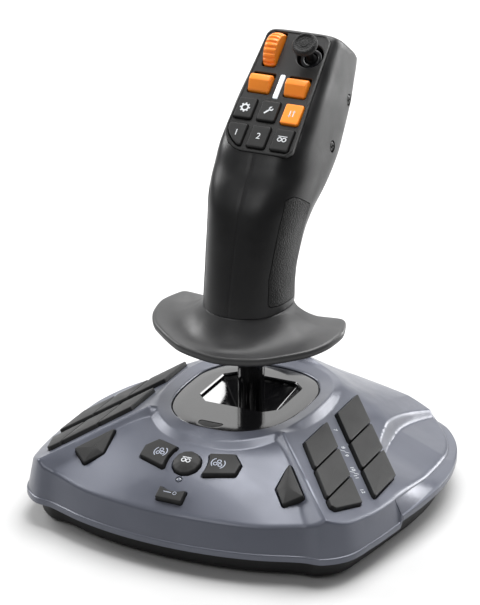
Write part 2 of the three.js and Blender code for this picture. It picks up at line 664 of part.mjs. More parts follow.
// ---------------------------------------------------------------- controls on the face plate
const slab = (x0, x1, v0, v1) => [[x0, v0], [x1, v0], [x1, v1], [x0, v1]];
const KEY_COLUMNS = [-13.7, 0, 13.7];
const KEY_HALF = 5.15;
const UPPER_ROW = [18.2, 30.6];
const LOWER_ROW = [1.3, 14.6];
const keys = [];
KEY_COLUMNS.forEach((x, column) => {
  keys.push({ name: `upper_key_${column + 1}`, points: slab(x - KEY_HALF, x + KEY_HALF, ...UPPER_ROW) });
  const [low, high] = LOWER_ROW;
  const clipped = [[x + KEY_HALF, low], [x + KEY_HALF, high], [x - KEY_HALF, high], [x - 5, low + 9],
    [x - 3.1, low + 5.8], [x, low + 2.6], [x + 2.9, low + 0.6]];
  const points = column === 0 ? clipped : slab(x - KEY_HALF, x + KEY_HALF, low, high);
  keys.push({ name: `lower_key_${column + 1}`, points });
});
const ROCKER = { centre: 10.6, slot: 6.5, half: 6.1, low: 35, high: 48.4 };
const rockers = [
  { name: 'rocker_left', centre: -ROCKER.centre },
  { name: 'rocker_right', centre: ROCKER.centre },
].map((rocker) => {
  const { centre } = rocker;
  return { ...rocker, points: slab(centre - ROCKER.slot, centre + ROCKER.slot, ROCKER.low, ROCKER.high) };
});
const lightOutline = slab(-1.3, 1.3, 33.4, 48.4);
const WHEEL = { x: -10.6, v: 63.7, radius: 11, width: 7, centre: -3.4 };
const wheelSlot = slab(WHEEL.x - 4.1, WHEEL.x + 4.1, WHEEL.v - 11.3, WHEEL.v + 11.3);
const MINI = { x: 10.6, v: 62.6, socket: 7.6, post: 2.2, cap: 7.1 };

const facePlate = cut(
  faceItem(plateOutline(0), -PLATE.thick, 0),
  ...keys.map((k) => faceItem(offset(k.points, 0.4), -9, 9)),
  ...rockers.map((r) => faceItem(r.points, -9, 9)),
  faceItem(offset(lightOutline, 0.3), -9, 9),
  faceItem(wheelSlot, -9, 9),
  faceItem(circle(MINI.socket, 24, MINI.x, MINI.v), -9, 9),
);
piece('face_plate', facePlate, 'black');
for (const { name, points } of keys) {
  piece(name, faceItem(points, -5, 1.6), name === 'upper_key_3' ? 'orange' : 'key');
}
piece('light_bar', faceItem(lightOutline, -5, 0.4), 'light');

function rockerSolid({ centre }) {
  const frame = { origin: FACE.origin, u: FACE.v, v: FACE.n, n: FACE.u };
  const profile = [[35.8, -4.6], [46.2, -4.6], [46.2, 1.6], [44, 4.4], [41.4, 4.4], [35.8, 1]];
  return prism(frame, profile, centre - ROCKER.half, centre + ROCKER.half);
}
for (const rocker of rockers) piece(rocker.name, rockerSolid(rocker), 'orange');

// Places a geometry made round the origin at (u, v, height) of the face plate, its z along n.
function onFace(geometry, u, v, height) {
  const basis = new THREE.Matrix4().makeBasis(FACE.u, FACE.v, FACE.n);
  const at = FACE.origin.clone().addScaledVector(FACE.u, u).addScaledVector(FACE.v, v)
    .addScaledVector(FACE.n, height);
  return geometry.applyMatrix4(basis.setPosition(at));
}

const wheelTeeth = 22;
function thumbWheel() {
  const points = Array.from({ length: wheelTeeth * 2 }, (_, i) => {
    const angle = (Math.PI * i) / wheelTeeth;
    const radius = i % 2 ? WHEEL.radius : WHEEL.radius - 0.9;
    return new THREE.Vector2(radius * Math.cos(angle), radius * Math.sin(angle));
  });
  const options = { depth: WHEEL.width, bevelEnabled: false };
  const disc = new THREE.ExtrudeGeometry(new THREE.Shape(points), options).translate(0, 0, -WHEEL.width / 2);
  return cut(disc, rod(1.6, 20, 'z', 12)).rotateY(Math.PI / 2);
}
piece('thumb_wheel', onFace(thumbWheel(), WHEEL.x, WHEEL.v, WHEEL.centre), 'orange');

const MINI_PIVOT = -4;
const miniRing = cut(rod(6.0, 3, 'z', 20), rod(3.9, 9, 'z', 16));
piece('thumbstick_ring', onFace(miniRing, MINI.x, MINI.v, MINI_PIVOT), 'gloss');
const postSolid = join(
  rod(MINI.post, 11, 'z', 14).translate(0, 0, 4.6),
  new THREE.SphereGeometry(3.2, 14, 8),
);
piece('thumbstick_post', onFace(postSolid, MINI.x, MINI.v, MINI_PIVOT), 'black');
const capProfile = [[0, 6.7], [3.6, 6.7], [3.6, 9.4], [MINI.cap, 9.6], [MINI.cap, 11.4], [5.6, 12.6],
  [4.4, 12.2], [0, 11.9]].map(([r, z]) => new THREE.Vector2(r, z));
const capSolid = new THREE.LatheGeometry(capProfile, 24).rotateX(Math.PI / 2);
piece('thumbstick_cap', onFace(capSolid, MINI.x, MINI.v, 0), 'rubber');

const gripBoard = cut(faceItem(slab(-17, 17, 5, 46), -10.6, -9), faceItem(circle(1.4, 10, 12, 32), -20, 0));
piece('grip_board', gripBoard, 'board');
const bushing = cut(rod(11, 9, 'z', 28), rod(SHAFT.radius + 0.3, 20, 'z', 32)).translate(0, AXIS_Y, 105);
piece('twist_bushing', bushing, 'nylon');

// The origin goes to the middle of the object's box, on the surface that the feet stand on.
const bounds = new THREE.Box3().setFromObject(joystick);
const middle = (bounds.min.y + bounds.max.y) / 2;
joystick.children.forEach((mesh) => mesh.geometry.translate(0, -middle, 0));

export default joystick;
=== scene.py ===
"""Looks of the desktop joystick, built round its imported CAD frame.

Lengths are millimetres in the design frame: the middle of the collar is at x = 0, y = 0, the desk is z = 0,
+X is to the user's right and +Y away from the user. place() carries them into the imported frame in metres.
"""
import math
from types import SimpleNamespace as Sizes

import bmesh
import bpy
import numpy as np
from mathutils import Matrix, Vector


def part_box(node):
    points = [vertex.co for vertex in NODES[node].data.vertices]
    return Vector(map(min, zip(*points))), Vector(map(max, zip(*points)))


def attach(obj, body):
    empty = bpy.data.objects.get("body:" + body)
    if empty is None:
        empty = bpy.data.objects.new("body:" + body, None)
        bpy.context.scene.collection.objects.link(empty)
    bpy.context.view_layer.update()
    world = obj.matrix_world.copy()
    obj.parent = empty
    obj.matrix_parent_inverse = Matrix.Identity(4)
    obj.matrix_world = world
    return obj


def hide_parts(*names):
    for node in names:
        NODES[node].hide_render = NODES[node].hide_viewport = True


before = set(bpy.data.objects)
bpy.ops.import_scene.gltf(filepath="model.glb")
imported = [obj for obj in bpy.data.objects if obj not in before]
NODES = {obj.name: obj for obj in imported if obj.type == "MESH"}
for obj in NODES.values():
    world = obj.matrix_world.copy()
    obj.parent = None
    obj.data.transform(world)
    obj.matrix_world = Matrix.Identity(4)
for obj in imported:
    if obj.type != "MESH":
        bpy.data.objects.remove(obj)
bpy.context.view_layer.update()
SHAFT_LOW, SHAFT_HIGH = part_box("shaft")
MM = 0.001
AXIS_Y = 8.5                            # the stick's upright axis, behind the middle of the collar
SHIFT_Y = (SHAFT_LOW.y + SHAFT_HIGH.y) / 2 - AXIS_Y * MM
TURN = 2 * math.pi
SHARP = 32.0                            # edges over this many degrees are drawn sharp
X_AXIS, Y_AXIS, Z_AXIS = (1, 0, 0), (0, 1, 0), (0, 0, 1)

# ---------------------------------------------------------------- dimensions
HOUSING = Sizes(bottom=13, step=3.4, step_y=-30, step_run=2.5, lip=3.4, wall=2.6, rim_round=1.3, lean=0.8,
                angles=720)
OPENING_Z = 57.3
COLLAR = Sizes(top=7.5, foot=12.0, round=0.7, rise=0.2, front_dip=0.6)
COVER = Sizes(z=56.5, thick=2.0, edge_gap=0.6, half_x=23.5, half_y=21.5, corner=6.5, round=2.0)
BASE = Sizes(foot=1.85, floor=5.0, skirt_top=15.5, inset=8.0, wall=2.4)
WELL_GAP = 0.5
SPLIT = 0.35                            # half the gap between neighbours in a bank
REST_NECK = 111.3
GRIP_WALL = 2.8
PLATE = Sizes(half_low=21.5, half_high=18.6, low=-1.2, high=76.6, thick=2.4, round=3.0)
KEY_COLUMNS = (-13.7, 0, 13.7)
KEY_HALF = 5.15
KEY_ROUND = 1.2
KEY_TOP = 1.6
MARK_LIFT = 0.02                        # how far a printed mark starts above its surface
THROUGH = 9                             # a cutter this far each way passes right through a plate
ROCKER = Sizes(centre=10.6, slot=6.5, half=6.1, low=35, high=48.4)
LIGHT = Sizes(half=1.3, low=33.4, high=48.4)
WHEEL = Sizes(x=-10.6, v=63.7, radius=11, width=7, centre=-3.4, slot_half=4.1, slot_reach=11.3, teeth=22)
STICK = Sizes(x=10.6, v=62.6, socket=7.6, cap=7.1, pivot=-4)
FOOT_PAD = Sizes(x=62, radius=9.9, thick=1.5)
GLAND = Sizes(y=94.2, z=19.6, collar=5.2, end=11.4)

# The top of the housing: the front deck with its bulge, the ramp before each wing, the wing itself, which is
# flat under the button banks and falls away behind them, and the lower lobe beside it.
DECK = Sizes(y=-97, z=25, slope=0.502, bulge=9, bulge_half_x=75, bulge_y=-75, bulge_half_y=38)
RAMP = Sizes(x=72.7, y=-82.9, z=31.6, slope_x=0.318, slope_y=0.8)
WING = Sizes(z=78, slope=0.49, fall_y=38, fall_x=60, fall_skew=0.55, fall=0.215, fall_inward=0.0055,
             outer_x=78, blend=4)
LOBE = Sizes(x=74, y=44, z=32.7, slope_x=0.38, slope_front=0.05, slope_rear=0.17, edge_x=70.4, edge_y=50,
             edge_curve=0.0035, edge_run=3.5, start_y=-25, start_run=45)
WING_STRETCH = math.hypot(1, WING.slope)

# Right half of the collar's opening, from the front centre round to the rear centre.
OPENING = [
    (0, -45.1), (10, -44.6), (19.5, -40.6), (28.8, -31.2), (33.6, -20), (35.8, -6.5), (36.2, 7), (35.4, 20),
    (32.6, 28), (27.5, 36), (18, 42), (9, 44.4), (0, 45),
]
# Right half of the housing's upper edge and lower edge.
RIM = [
    (0, -98), (26, -96.3), (50, -91.5), (73, -83.5), (82, -82.5), (91.5, -73.6), (96.5, -58), (98.8, -47),
    (100.4, -34), (101.2, -20), (101.9, -5), (102.2, 15), (101.9, 33), (100.6, 48), (96.8, 61), (90, 73),
    (81, 83.5), (68, 91), (46, 95), (22, 97), (0, 97.6),
]
FOOT = [
    (0, -101.6), (27, -99.8), (51, -95), (74.5, -87), (84, -85.5), (94.8, -75.4), (100.7, -54), (105.1, -29),
    (108.6, -6.5), (110, 14), (109.3, 31), (106.5, 46), (101.5, 62), (94, 76), (84, 87.5), (70, 95), (47, 99),
    (22, 101), (0, 101.6),
]
# Grip stations: front point and rear point (y, z), half width, and how square the section is.
GRIP = [
    (-21.5, 111.7, 32.7, 111.7, 23.1, 2.3), (-20.0, 121, 32.7, 122, 23.1, 2.3),
    (-17.7, 131, 34.1, 131.5, 23.2, 2.4), (-15.4, 140.5, 37.5, 140, 23.7, 2.5),
    (-12.9, 150.5, 42.7, 149, 24.3, 2.6), (-9.9, 160, 51.2, 157.5, 25.3, 2.8),
    (-6.6, 168.5, 61.4, 165, 26.7, 3.0), (-1.4, 177, 70.6, 173, 27.4, 3.3),
    (5.2, 185, 78.1, 181, 27.5, 3.6), (11.65, 195.1, 84.2, 188.5, 26.7, 4.0),
    (23.9, 205.4, 89.4, 196.5, 25.9, 4.5), (36.2, 215.6, 93.7, 203.5, 25.1, 5.0),
    (48.5, 225.9, 98.3, 210, 23.9, 5.0), (60.7, 236.2, 102.8, 217.1, 22.9, 5.0),
    (71.4, 245.1, 105.7, 222.8, 22.2, 4.5),
]
PAD = [(-11, 116.5), (-9.2, 132), (-4.8, 148), (-0.8, 161), (3.5, 172.5), (8.6, 173.6), (13.5, 171),
       (26.5, 163.8), (22, 147), (19, 131), (17.6, 114.5)]
HEAD_SCREWS = {"lower": (26.9, 53.9, 188.1), "upper": (24.8, 80.8, 206.3)}


# ---------------------------------------------------------------- geometry helpers
def place(points):
    """Design millimetres to packed metres."""
    moved = np.asarray(points, float) * MM
    moved[:, 1] += SHIFT_Y
    return moved


class Plane:
    """A work plane: origin, two directions in it and its normal."""

    def __init__(self, origin, u, v, n):
        self.origin, self.u, self.v, self.n = (np.array(a, float) for a in (origin, u, v, n))

    def at(self, points, height):
        p = np.asarray(points, float)
        h = np.broadcast_to(np.asarray(height, float), (len(p),))
        return self.origin + p[:, :1] * self.u + p[:, 1:2] * self.v + h[:, None] * self.n


def level(x, y, z):
    """A work plane parallel to the desk."""
    return Plane((x, y, z), X_AXIS, Y_AXIS, Z_AXIS)


def facing_side(at, side=1):
    """A work plane that looks along +X, or along -X for side -1."""
    return Plane(at, Y_AXIS, Z_AXIS, (side, 0, 0))


def unit(v):
    """A vector made one unit long."""
    v = np.array(v, float)
    return v / np.linalg.norm(v)


def sloping(origin, slope_x, slope_y):
    """A work plane that rises by these slopes along x and y."""
    n = unit((-slope_x, -slope_y, 1))
    u = unit((1, 0, slope_x))
    return Plane(origin, u, np.cross(n, u), n)


def onto(plane, points):
    """Plan points (x, y) carried vertically on to a sloping plane, in that plane's own coordinates."""
    flat = []
    for x, y in points:
        dx, dy = x - plane.origin[0], y - plane.origin[1]
        d = np.array((dx, dy, -(plane.n[0] * dx + plane.n[1] * dy) / plane.n[2]))
        flat.append((d @ plane.u, d @ plane.v))
    return flat


def corner_curve(before, corner, after, reach, steps):
    """Points of a curve that leaves one edge and joins the next, reach away from their corner."""
    start = corner + before / np.linalg.norm(before) * reach
    end = corner + after / np.linalg.norm(after) * reach
    shares = [k / steps for k in range(steps + 1)]
    return [(1 - t) ** 2 * start + 2 * t * (1 - t) * corner + t * t * end for t in shares]


def rounded(points, radius, steps=6):
    """A closed outline with its corners rounded."""
    out = []
    p = np.asarray(points, float)
    for i, corner in enumerate(p):
        a = p[i - 1] - corner
        b = p[(i + 1) % len(p)] - corner
        la, lb = np.linalg.norm(a), np.linalg.norm(b)
        half = math.acos(np.clip(a @ b / (la * lb), -1, 1)) / 2
        reach = min(radius / max(math.tan(half), 1e-3), 0.48 * la, 0.48 * lb)
        out += corner_curve(a, corner, b, reach, steps)
    return np.array(out)


def filleted(profile, radius, steps=4):
    """An open profile with its inner corners rounded."""
    p = np.asarray(profile, float)
    out = [p[0]]
    for before, corner, after in zip(p, p[1:], p[2:]):
        a, b = before - corner, after - corner
        reach = min(radius, 0.45 * np.linalg.norm(a), 0.45 * np.linalg.norm(b))
        out += corner_curve(a, corner, b, reach, steps)
    out.append(p[-1])
    return out


def grown(points, by):
    """A closed outline moved outward (or inward, if by is negative)."""
    p = np.asarray(points, float)
    nxt = np.roll(p, -1, axis=0)
    area = np.sum(p[:, 0] * nxt[:, 1] - nxt[:, 0] * p[:, 1])
    edge = nxt - p
    length = np.maximum(np.linalg.norm(edge, axis=1), 1e-9)
    normal = np.stack((edge[:, 1], -edge[:, 0]), axis=1) / length[:, None] * math.copysign(1, area)
    before = np.roll(normal, 1, axis=0)
    middle = normal + before
    scale = 2 / np.maximum(np.sum(middle * middle, axis=1), 0.6)
    return p + middle * scale[:, None] * by


def circle(radius, count, cx=0.0, cy=0.0):
    angles = np.arange(count) * TURN / count
    return np.stack((cx + radius * np.cos(angles), cy + radius * np.sin(angles)), axis=1)


def slab(x0, x1, v0, v1):
    return [(x0, v0), (x1, v0), (x1, v1), (x0, v1)]


def bar(x0, y0, x1, y1, width):
    """The outline of a straight stroke."""
    direction = unit((x1 - x0, y1 - y0))
    side = np.array((-direction[1], direction[0])) * width / 2
    a, b = np.array((x0, y0), float), np.array((x1, y1), float)
    return [a - side, b - side, b + side, a + side]


def mirrored(right_half):
    """A closed outline from its right half, which starts and ends on the middle line."""
    return list(right_half) + [(-x, y) for x, y in reversed(right_half[1:-1])]


def spline(points, per_span, closed=False):
    """A centripetal Catmull-Rom curve through the points."""
    p = np.asarray(points, float)
    if closed:
        p = np.vstack((p[-1], p, p[0], p[1]))
    else:
        p = np.vstack((2 * p[0] - p[1], p, 2 * p[-1] - p[-2]))
    out = []
    for i in range(1, len(p) - 2):
        quad = p[i - 1:i + 3]
        gaps = np.sqrt(np.maximum(np.linalg.norm(np.diff(quad, axis=0), axis=1), 1e-6))
        t0, t1, t2, t3 = 0.0, gaps[0], gaps[0] + gaps[1], gaps.sum()
        for k in range(per_span):
            t = t1 + (t2 - t1) * k / per_span
            a1 = quad[0] * (t1 - t) / (t1 - t0) + quad[1] * (t - t0) / (t1 - t0)
            a2 = quad[1] * (t2 - t) / (t2 - t1) + quad[2] * (t - t1) / (t2 - t1)
            a3 = quad[2] * (t3 - t) / (t3 - t2) + quad[3] * (t - t2) / (t3 - t2)
            b1 = a1 * (t2 - t) / (t2 - t0) + a2 * (t - t0) / (t2 - t0)
            b2 = a2 * (t3 - t) / (t3 - t1) + a3 * (t - t1) / (t3 - t1)
            out.append(b1 * (t2 - t) / (t2 - t1) + b2 * (t - t1) / (t2 - t1))
    if not closed:
        out.append(p[-2])
    return np.array(out)


def superellipse(angle, half_x, half_y, power):
    """The radius of a rounded rectangle, squarer as the power grows."""
    c = np.abs(np.cos(angle)) / half_x
    s = np.abs(np.sin(angle)) / half_y
    return (c ** power + s ** power) ** (-1 / power)


def outline_radius(right_half):
    """The distance of a symmetric outline from the middle of the collar, as a function of the angle."""
    curve = spline(mirrored(right_half), 24, closed=True)
    angle = np.arctan2(curve[:, 1], curve[:, 0])
    order = np.argsort(angle)
    angle, radius = angle[order], np.hypot(curve[:, 0], curve[:, 1])[order]
    return lambda a: np.interp(np.asarray(a), angle, radius, period=TURN)


def smooth(t):
    """A soft step from 0 to 1."""
    t = np.clip(t, 0, 1)
    return t * t * (3 - 2 * t)


def soft_max(a, b, k):
    """The larger of two heights, blended where they differ by less than k."""
    h = np.maximum(k - np.abs(a - b), 0) / k
    return np.maximum(a, b) + h * h * k / 4


def soft_min(a, b, k):
    return -soft_max(-a, -b, k)


def loft(loops, ring=False):
    """Vertices and faces of a skin over loops of equal size, closed into a ring or capped at both ends."""
    count = len(loops[0])
    verts = np.vstack(loops)
    faces = []
    bands = len(loops) if ring else len(loops) - 1
    for k in range(bands):
        here, there = k * count, ((k + 1) % len(loops)) * count
        for i in range(count):
            j = (i + 1) % count
            faces.append((here + i, here + j, there + j, there + i))
    if not ring:
        last = (len(loops) - 1) * count
        faces += [tuple(range(count)), tuple(range(last, last + count))]
    return verts, faces


def new_object(name, data):
    obj = bpy.data.objects.new(name, data)
    bpy.context.scene.collection.objects.link(obj)
    return obj


def evaluated_mesh(obj):
    """The mesh of an object with its modifiers or text worked out."""
    bpy.context.view_layer.update()
    graph = bpy.context.evaluated_depsgraph_get()
    return bpy.data.meshes.new_from_object(obj.evaluated_get(graph))


def shade(obj, sharp=SHARP):
    obj.data.shade_smooth()
    obj.data.set_sharp_from_angle(angle=math.radians(sharp))
    return obj


def mesh_object(name, verts, faces, sharp=SHARP):
    mesh = bpy.data.meshes.new(name)
    mesh.from_pydata(place(verts).tolist(), [], [tuple(f) for f in faces])
    work = bmesh.new()
    work.from_mesh(mesh)
    bmesh.ops.recalc_face_normals(work, faces=work.faces)
    work.to_mesh(mesh)
    work.free()
    return shade(new_object(name, mesh), sharp)


def joined(name, objects):
    """Several meshes made one, keeping each part's materials."""
    work = bmesh.new()
    materials = []
    for obj in objects:
        start = len(work.faces)
        work.from_mesh(obj.data)
        work.faces.ensure_lookup_table()
        slots = list(obj.data.materials)
        materials += [m for m in slots if m not in materials]
        for face in work.faces[start:]:
            face.material_index = materials.index(slots[face.material_index])
    mesh = bpy.data.meshes.new(name)
    work.to_mesh(mesh)
    work.free()
    for m in materials:
        mesh.materials.append(m)
    for obj in objects:
        bpy.data.objects.remove(obj)
    return shade(new_object(name, mesh))


def carve(obj, cutter, operation="DIFFERENCE", sharp=SHARP):
    """obj with the cutter taken from it (or only what they share)."""
    modifier = obj.modifiers.new("carve", "BOOLEAN")
    modifier.object = cutter
    modifier.operation = operation
    modifier.solver = "MANIFOLD"
    mesh = evaluated_mesh(obj)
    obj.modifiers.clear()
    obj.data = mesh
    bpy.data.objects.remove(cutter)
    shade(obj, sharp)


def prism(name, plane, outline, low, high):
    outline = np.asarray(outline, float)
    return mesh_object(name, *loft([plane.at(outline, low), plane.at(outline, high)]))


def flared(name, plane, outline, low, high, flare):
    """A cutter for a well whose mouth has a small chamfer at the plane."""
    wide = grown(outline, flare)
    loops = [plane.at(outline, low), plane.at(outline, -flare), plane.at(wide, 0.02), plane.at(wide, high)]
    return mesh_object(name, *loft(loops))


def key_shape(name, plane, outline, low, high, bevel, crown=0.0, both=False):
    """A button: straight sides, a rolled edge (or one at both ends) and a slightly crowned top."""
    outline = np.asarray(outline, float)
    turns = [k / 5 * math.pi / 2 for k in range(6)]

    def rolled(a, end, inward):
        return plane.at(grown(outline, -bevel * (1 - math.cos(a))), end + inward * bevel * (1 - math.sin(a)))
    loops = []
    if both:
        loops += [rolled(a, low, 1) for a in reversed(turns[1:])]
    loops.append(plane.at(outline, low + (bevel if both else 0)))
    loops += [rolled(a, high, -1) for a in turns]
    inner = grown(outline, -bevel)
    middle = inner.mean(axis=0)
    for scale in (0.85, 0.66, 0.42, 0.18):
        loops.append(plane.at(middle + (inner - middle) * scale, high + crown * (1 - scale ** 2)))
    return mesh_object(name, *loft(loops))


def lathe(name, profile, segments, plane, ring=False):
    """A profile of (radius, height) turned about the plane's normal."""
    loops = [plane.at(circle(max(r, 0.02), segments), h) for r, h in profile]
    return mesh_object(name, *loft(loops, ring=ring))


# ---------------------------------------------------------------- materials
def finish_material(name, colour, rough, grain=0.35, bump=0.15, vary=0.12, sheen=0.0, coat=0.0, metal=0.0,
                    spread=0.07, dust=0.03, specular=0.5, cells=0.0):
    """A moulded or machined surface: fine grain, uneven gloss, slight tone drift, handling wear."""
    material = bpy.data.materials.new(name)
    material.use_nodes = True
    tree = material.node_tree

    def wire(node, inputs):
        """Links the inputs that are sockets and sets the others."""
        for key, value in inputs.items():
            if isinstance(value, bpy.types.NodeSocket):
                tree.links.new(value, node.inputs[key])
            else:
                node.inputs[key].default_value = value
        return node

    def made(kind, inputs):
        return wire(tree.nodes.new("ShaderNode" + kind), inputs)

    coords = made("TexCoord", {}).outputs["Object"]

    def noise(size_mm, detail=3.0, distortion=0.0):
        inputs = {"Scale": 1000 / size_mm, "Detail": detail, "Distortion": distortion, "Vector": coords}
        return made("TexNoise", inputs).outputs["Fac"]

    def ranged(value, low, high, out_low, out_high):
        inputs = {"From Min": low, "From Max": high, "To Min": out_low, "To Max": out_high, "Value": value}
        return made("MapRange", inputs).outputs["Result"]

    def mixed(factor, a, b):
        node = made("Mix", {})
        node.data_type = "RGBA"
        return wire(node, {"Factor": factor, 6: a, 7: b}).outputs[2]

    def toned(gain, lift):
        return tuple(min(c * gain + lift, 1) for c in colour) + (1.0,)

    tone = mixed(ranged(noise(38, 4), 0.35, 0.65, 0, 1), toned(1 - vary, 0), toned(1 + vary, 0.002))
    tone = mixed(ranged(noise(7, 6, 0.6), 0.56, 0.78, 0, dust * 6), tone, toned(1.25, 0.02))
    tone = mixed(ranged(noise(1.1, 2), 0.70, 0.80, 0, dust), tone, toned(0.6, 0.35))
    uneven = ranged(noise(16, 5, 0.4), 0.3, 0.7, rough - spread, rough + spread)
    height = noise(grain, 2)
    if cells:
        height = made("TexVoronoi", {"Scale": 1000 / cells, "Vector": coords}).outputs["Distance"]
    fine = made("Bump", {"Strength": bump, "Distance": (cells or grain) * MM * 0.35, "Height": height})
    wave = made("Bump", {"Strength": 0.05, "Distance": 0.0004, "Height": noise(22, 1),
                         "Normal": fine.outputs["Normal"]})
    wire(tree.nodes["Principled BSDF"], {
        "Metallic": metal, "Sheen Weight": sheen, "Coat Weight": coat, "Coat Roughness": 0.12,
        "Specular IOR Level": specular, "Base Color": tone, "Roughness": uneven,
        "Normal": wave.outputs["Normal"],
    })
    return material


def glow(material, colour, strength):
    """Lets a material give off a little light of its own."""
    shader = material.node_tree.nodes["Principled BSDF"]
    shader.inputs["Emission Color"].default_value = colour + (1.0,)
    shader.inputs["Emission Strength"].default_value = strength


FINISHES = {
    "housing_plastic": ((0.088, 0.095, 0.122), 0.36,
                        dict(bump=0.14, vary=0.05, metal=0.30, coat=0.15, dust=0.01)),
    "black_plastic": ((0.006, 0.006, 0.0065), 0.48, dict(specular=0.35, dust=0.01)),
    "plate_plastic": ((0.010, 0.010, 0.010), 0.40, dict(specular=0.45, bump=0.12, dust=0.01)),
    "gloss_black": ((0.006, 0.006, 0.007), 0.11, dict(bump=0.02, spread=0.04, coat=0.3, dust=0.006)),
    "key_plastic": ((0.020, 0.020, 0.020), 0.52, dict(specular=0.22, grain=0.3, bump=0.16, dust=0.01)),
    "grip_plastic": ((0.005, 0.005, 0.0055), 0.36, dict(specular=0.33, grain=0.4, bump=0.16, dust=0.01)),
    "rest_plastic": ((0.026, 0.026, 0.027), 0.42, dict(bump=0.10, dust=0.01)),
    "grip_rubber": ((0.006, 0.006, 0.006), 0.60,
                    dict(specular=0.3, cells=0.9, bump=1.0, sheen=0.04, dust=0.01)),
    "foot_rubber": ((0.014, 0.014, 0.014), 0.8, dict(bump=0.3, sheen=0.05)),
    "orange_plastic": ((1.0, 0.27, 0.016), 0.38, dict(bump=0.06, vary=0.04, coat=0.1, dust=0.01)),
    "white_light": ((0.80, 0.83, 0.86), 0.3, dict(bump=0.03, vary=0.02)),
    "clear_lens": ((0.10, 0.11, 0.14), 0.3, dict(bump=0.03, coat=0.4)),
    "nylon": ((0.72, 0.70, 0.63), 0.45, dict(bump=0.1, vary=0.04)),
    "steel": ((0.55, 0.56, 0.58), 0.32, dict(metal=1.0, vary=0.06)),
    "black_steel": ((0.02, 0.02, 0.02), 0.38, dict(metal=0.4, bump=0.1)),
    "circuit_board": ((0.015, 0.09, 0.04), 0.4, dict(bump=0.1)),
    "white_print": ((0.62, 0.64, 0.66), 0.55, dict(bump=0.05, vary=0.03)),
    "dim_print": ((0.34, 0.37, 0.45), 0.55, dict(bump=0.05, vary=0.03)),
}
MATERIALS = {name: finish_material(name, colour, rough, **more)
             for name, (colour, rough, more) in FINISHES.items()}
glow(MATERIALS["white_light"], (0.85, 0.93, 1.0), 0.6)
PRINT = MATERIALS["white_print"]
DIM_PRINT = MATERIALS["dim_print"]


def paint(obj, slot):
    """Gives an object one material and no other."""
    obj.data.materials.clear()
    obj.data.materials.append(MATERIALS[slot])
    return obj


def finish(obj, node, body, slot, painted=False):
    """Hangs a piece under its body and hides the CAD node it stands for; unless it is painted already, gives
    it its slot's material.
    """
    if not painted:
        paint(obj, slot)
    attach(obj, body)
    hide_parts(node)


# ---------------------------------------------------------------- upper housing
opening_radius = outline_radius(OPENING)
rim_radius = outline_radius(RIM)
foot_radius = outline_radius(FOOT)


def deck_height(x, y):
    across = np.maximum(0, 1 - (x / DECK.bulge_half_x) ** 2)
    along = np.maximum(0, 1 - ((y - DECK.bulge_y) / DECK.bulge_half_y) ** 2)
    return DECK.z + DECK.slope * (y - DECK.y) + DECK.bulge * across ** 2 * along


def ramp_height(x, y):
    return RAMP.z + RAMP.slope_x * (x - RAMP.x) + RAMP.slope_y * (y - RAMP.y)


def wing_height(x, y):
    r = WING.blend
    fall = WING.fall + WING.fall_inward * np.maximum(0, WING.outer_x - x)
    past = y - WING.fall_y + WING.fall_skew * np.maximum(0, x - WING.fall_x)
    run = np.where(past > r, past, np.where(past < -r, 0, (past + r) ** 2 / (4 * r)))
    return WING.z - WING.slope * x - fall * run


def lobe_height(x, y):
    slope = np.where(y < LOBE.y, LOBE.slope_front, LOBE.slope_rear)
    return LOBE.z - LOBE.slope_x * (x - LOBE.x) - slope * (y - LOBE.y)


def plate_height(x, y):
    """The height of the housing's top outside the collar."""
    side = np.abs(x)
    front = soft_max(deck_height(side, y), ramp_height(side, y), 0.5)
    wing = wing_height(side, y)
    sink = np.maximum(0, wing - lobe_height(side, y))
    edge = LOBE.edge_x + LOBE.edge_curve * (y - LOBE.edge_y) ** 2
    share = smooth((side - edge) / LOBE.edge_run) * smooth((y - LOBE.start_y) / LOBE.start_run)
    return soft_min(front, wing - sink * share, 0.6)


def kink(low_line, high_line, d, r):
    """Joins two lines that meet at d = 0 with a rounded corner of half length r."""
    inside = np.abs(d) < r
    away = np.abs(d) > 1e-6
    slope = np.where(away, (high_line - low_line) / np.where(away, d, 1), 0)
    bent = low_line + slope * (d + r) ** 2 / (4 * r)
    return np.where(inside, bent, np.where(d > 0, high_line, low_line))


def top_height(angle, radius):
    """The height of the housing's top: the collar's inner slope, its fall to the plate, then the plate."""
    x, y = radius * np.cos(angle), radius * np.sin(angle)
    out = radius - opening_radius(angle)
    frontness = np.maximum(0, -np.sin(angle)) ** 3
    crest = OPENING_Z + COLLAR.top * (COLLAR.rise - COLLAR.front_dip * frontness)
    inner = OPENING_Z + (crest - OPENING_Z) * out / COLLAR.top
    foot = opening_radius(angle) + COLLAR.foot
    at_foot = plate_height(foot * np.cos(angle), foot * np.sin(angle))
    fall = crest + (at_foot - crest) * (out - COLLAR.top) / (COLLAR.foot - COLLAR.top)
    collar = kink(inner, fall, out - COLLAR.top, COLLAR.round)
    plate = kink(fall, plate_height(x, y), out - COLLAR.foot, COLLAR.round)
    return np.where(out > (COLLAR.top + COLLAR.foot) / 2, plate, collar)


def bottom_height(angle, radius):
    """The housing's lower edge, which steps up behind the front corners."""
    share = smooth((radius * np.sin(angle) - HOUSING.step_y) / HOUSING.step_run)
    return HOUSING.bottom + HOUSING.step * share


def ring(radius, height):
    """A loop about the middle of the collar; height is a number or a function of angle and radius."""
    count = HOUSING.angles
    angles = (np.arange(count) + 0.5) * TURN / count
    r = radius(angles)
    z = height(angles, r) if callable(height) else np.full(count, float(height))
    return np.stack((r * np.cos(angles), r * np.sin(angles), z), axis=1)


def offset(outline, by):
    """An outline moved outward from the middle of the collar."""
    return lambda a: outline(a) + by


def between(start, end, share):
    """An outline part of the way from one outline to another."""
    return lambda a: start(a) + (end(a) - start(a)) * share


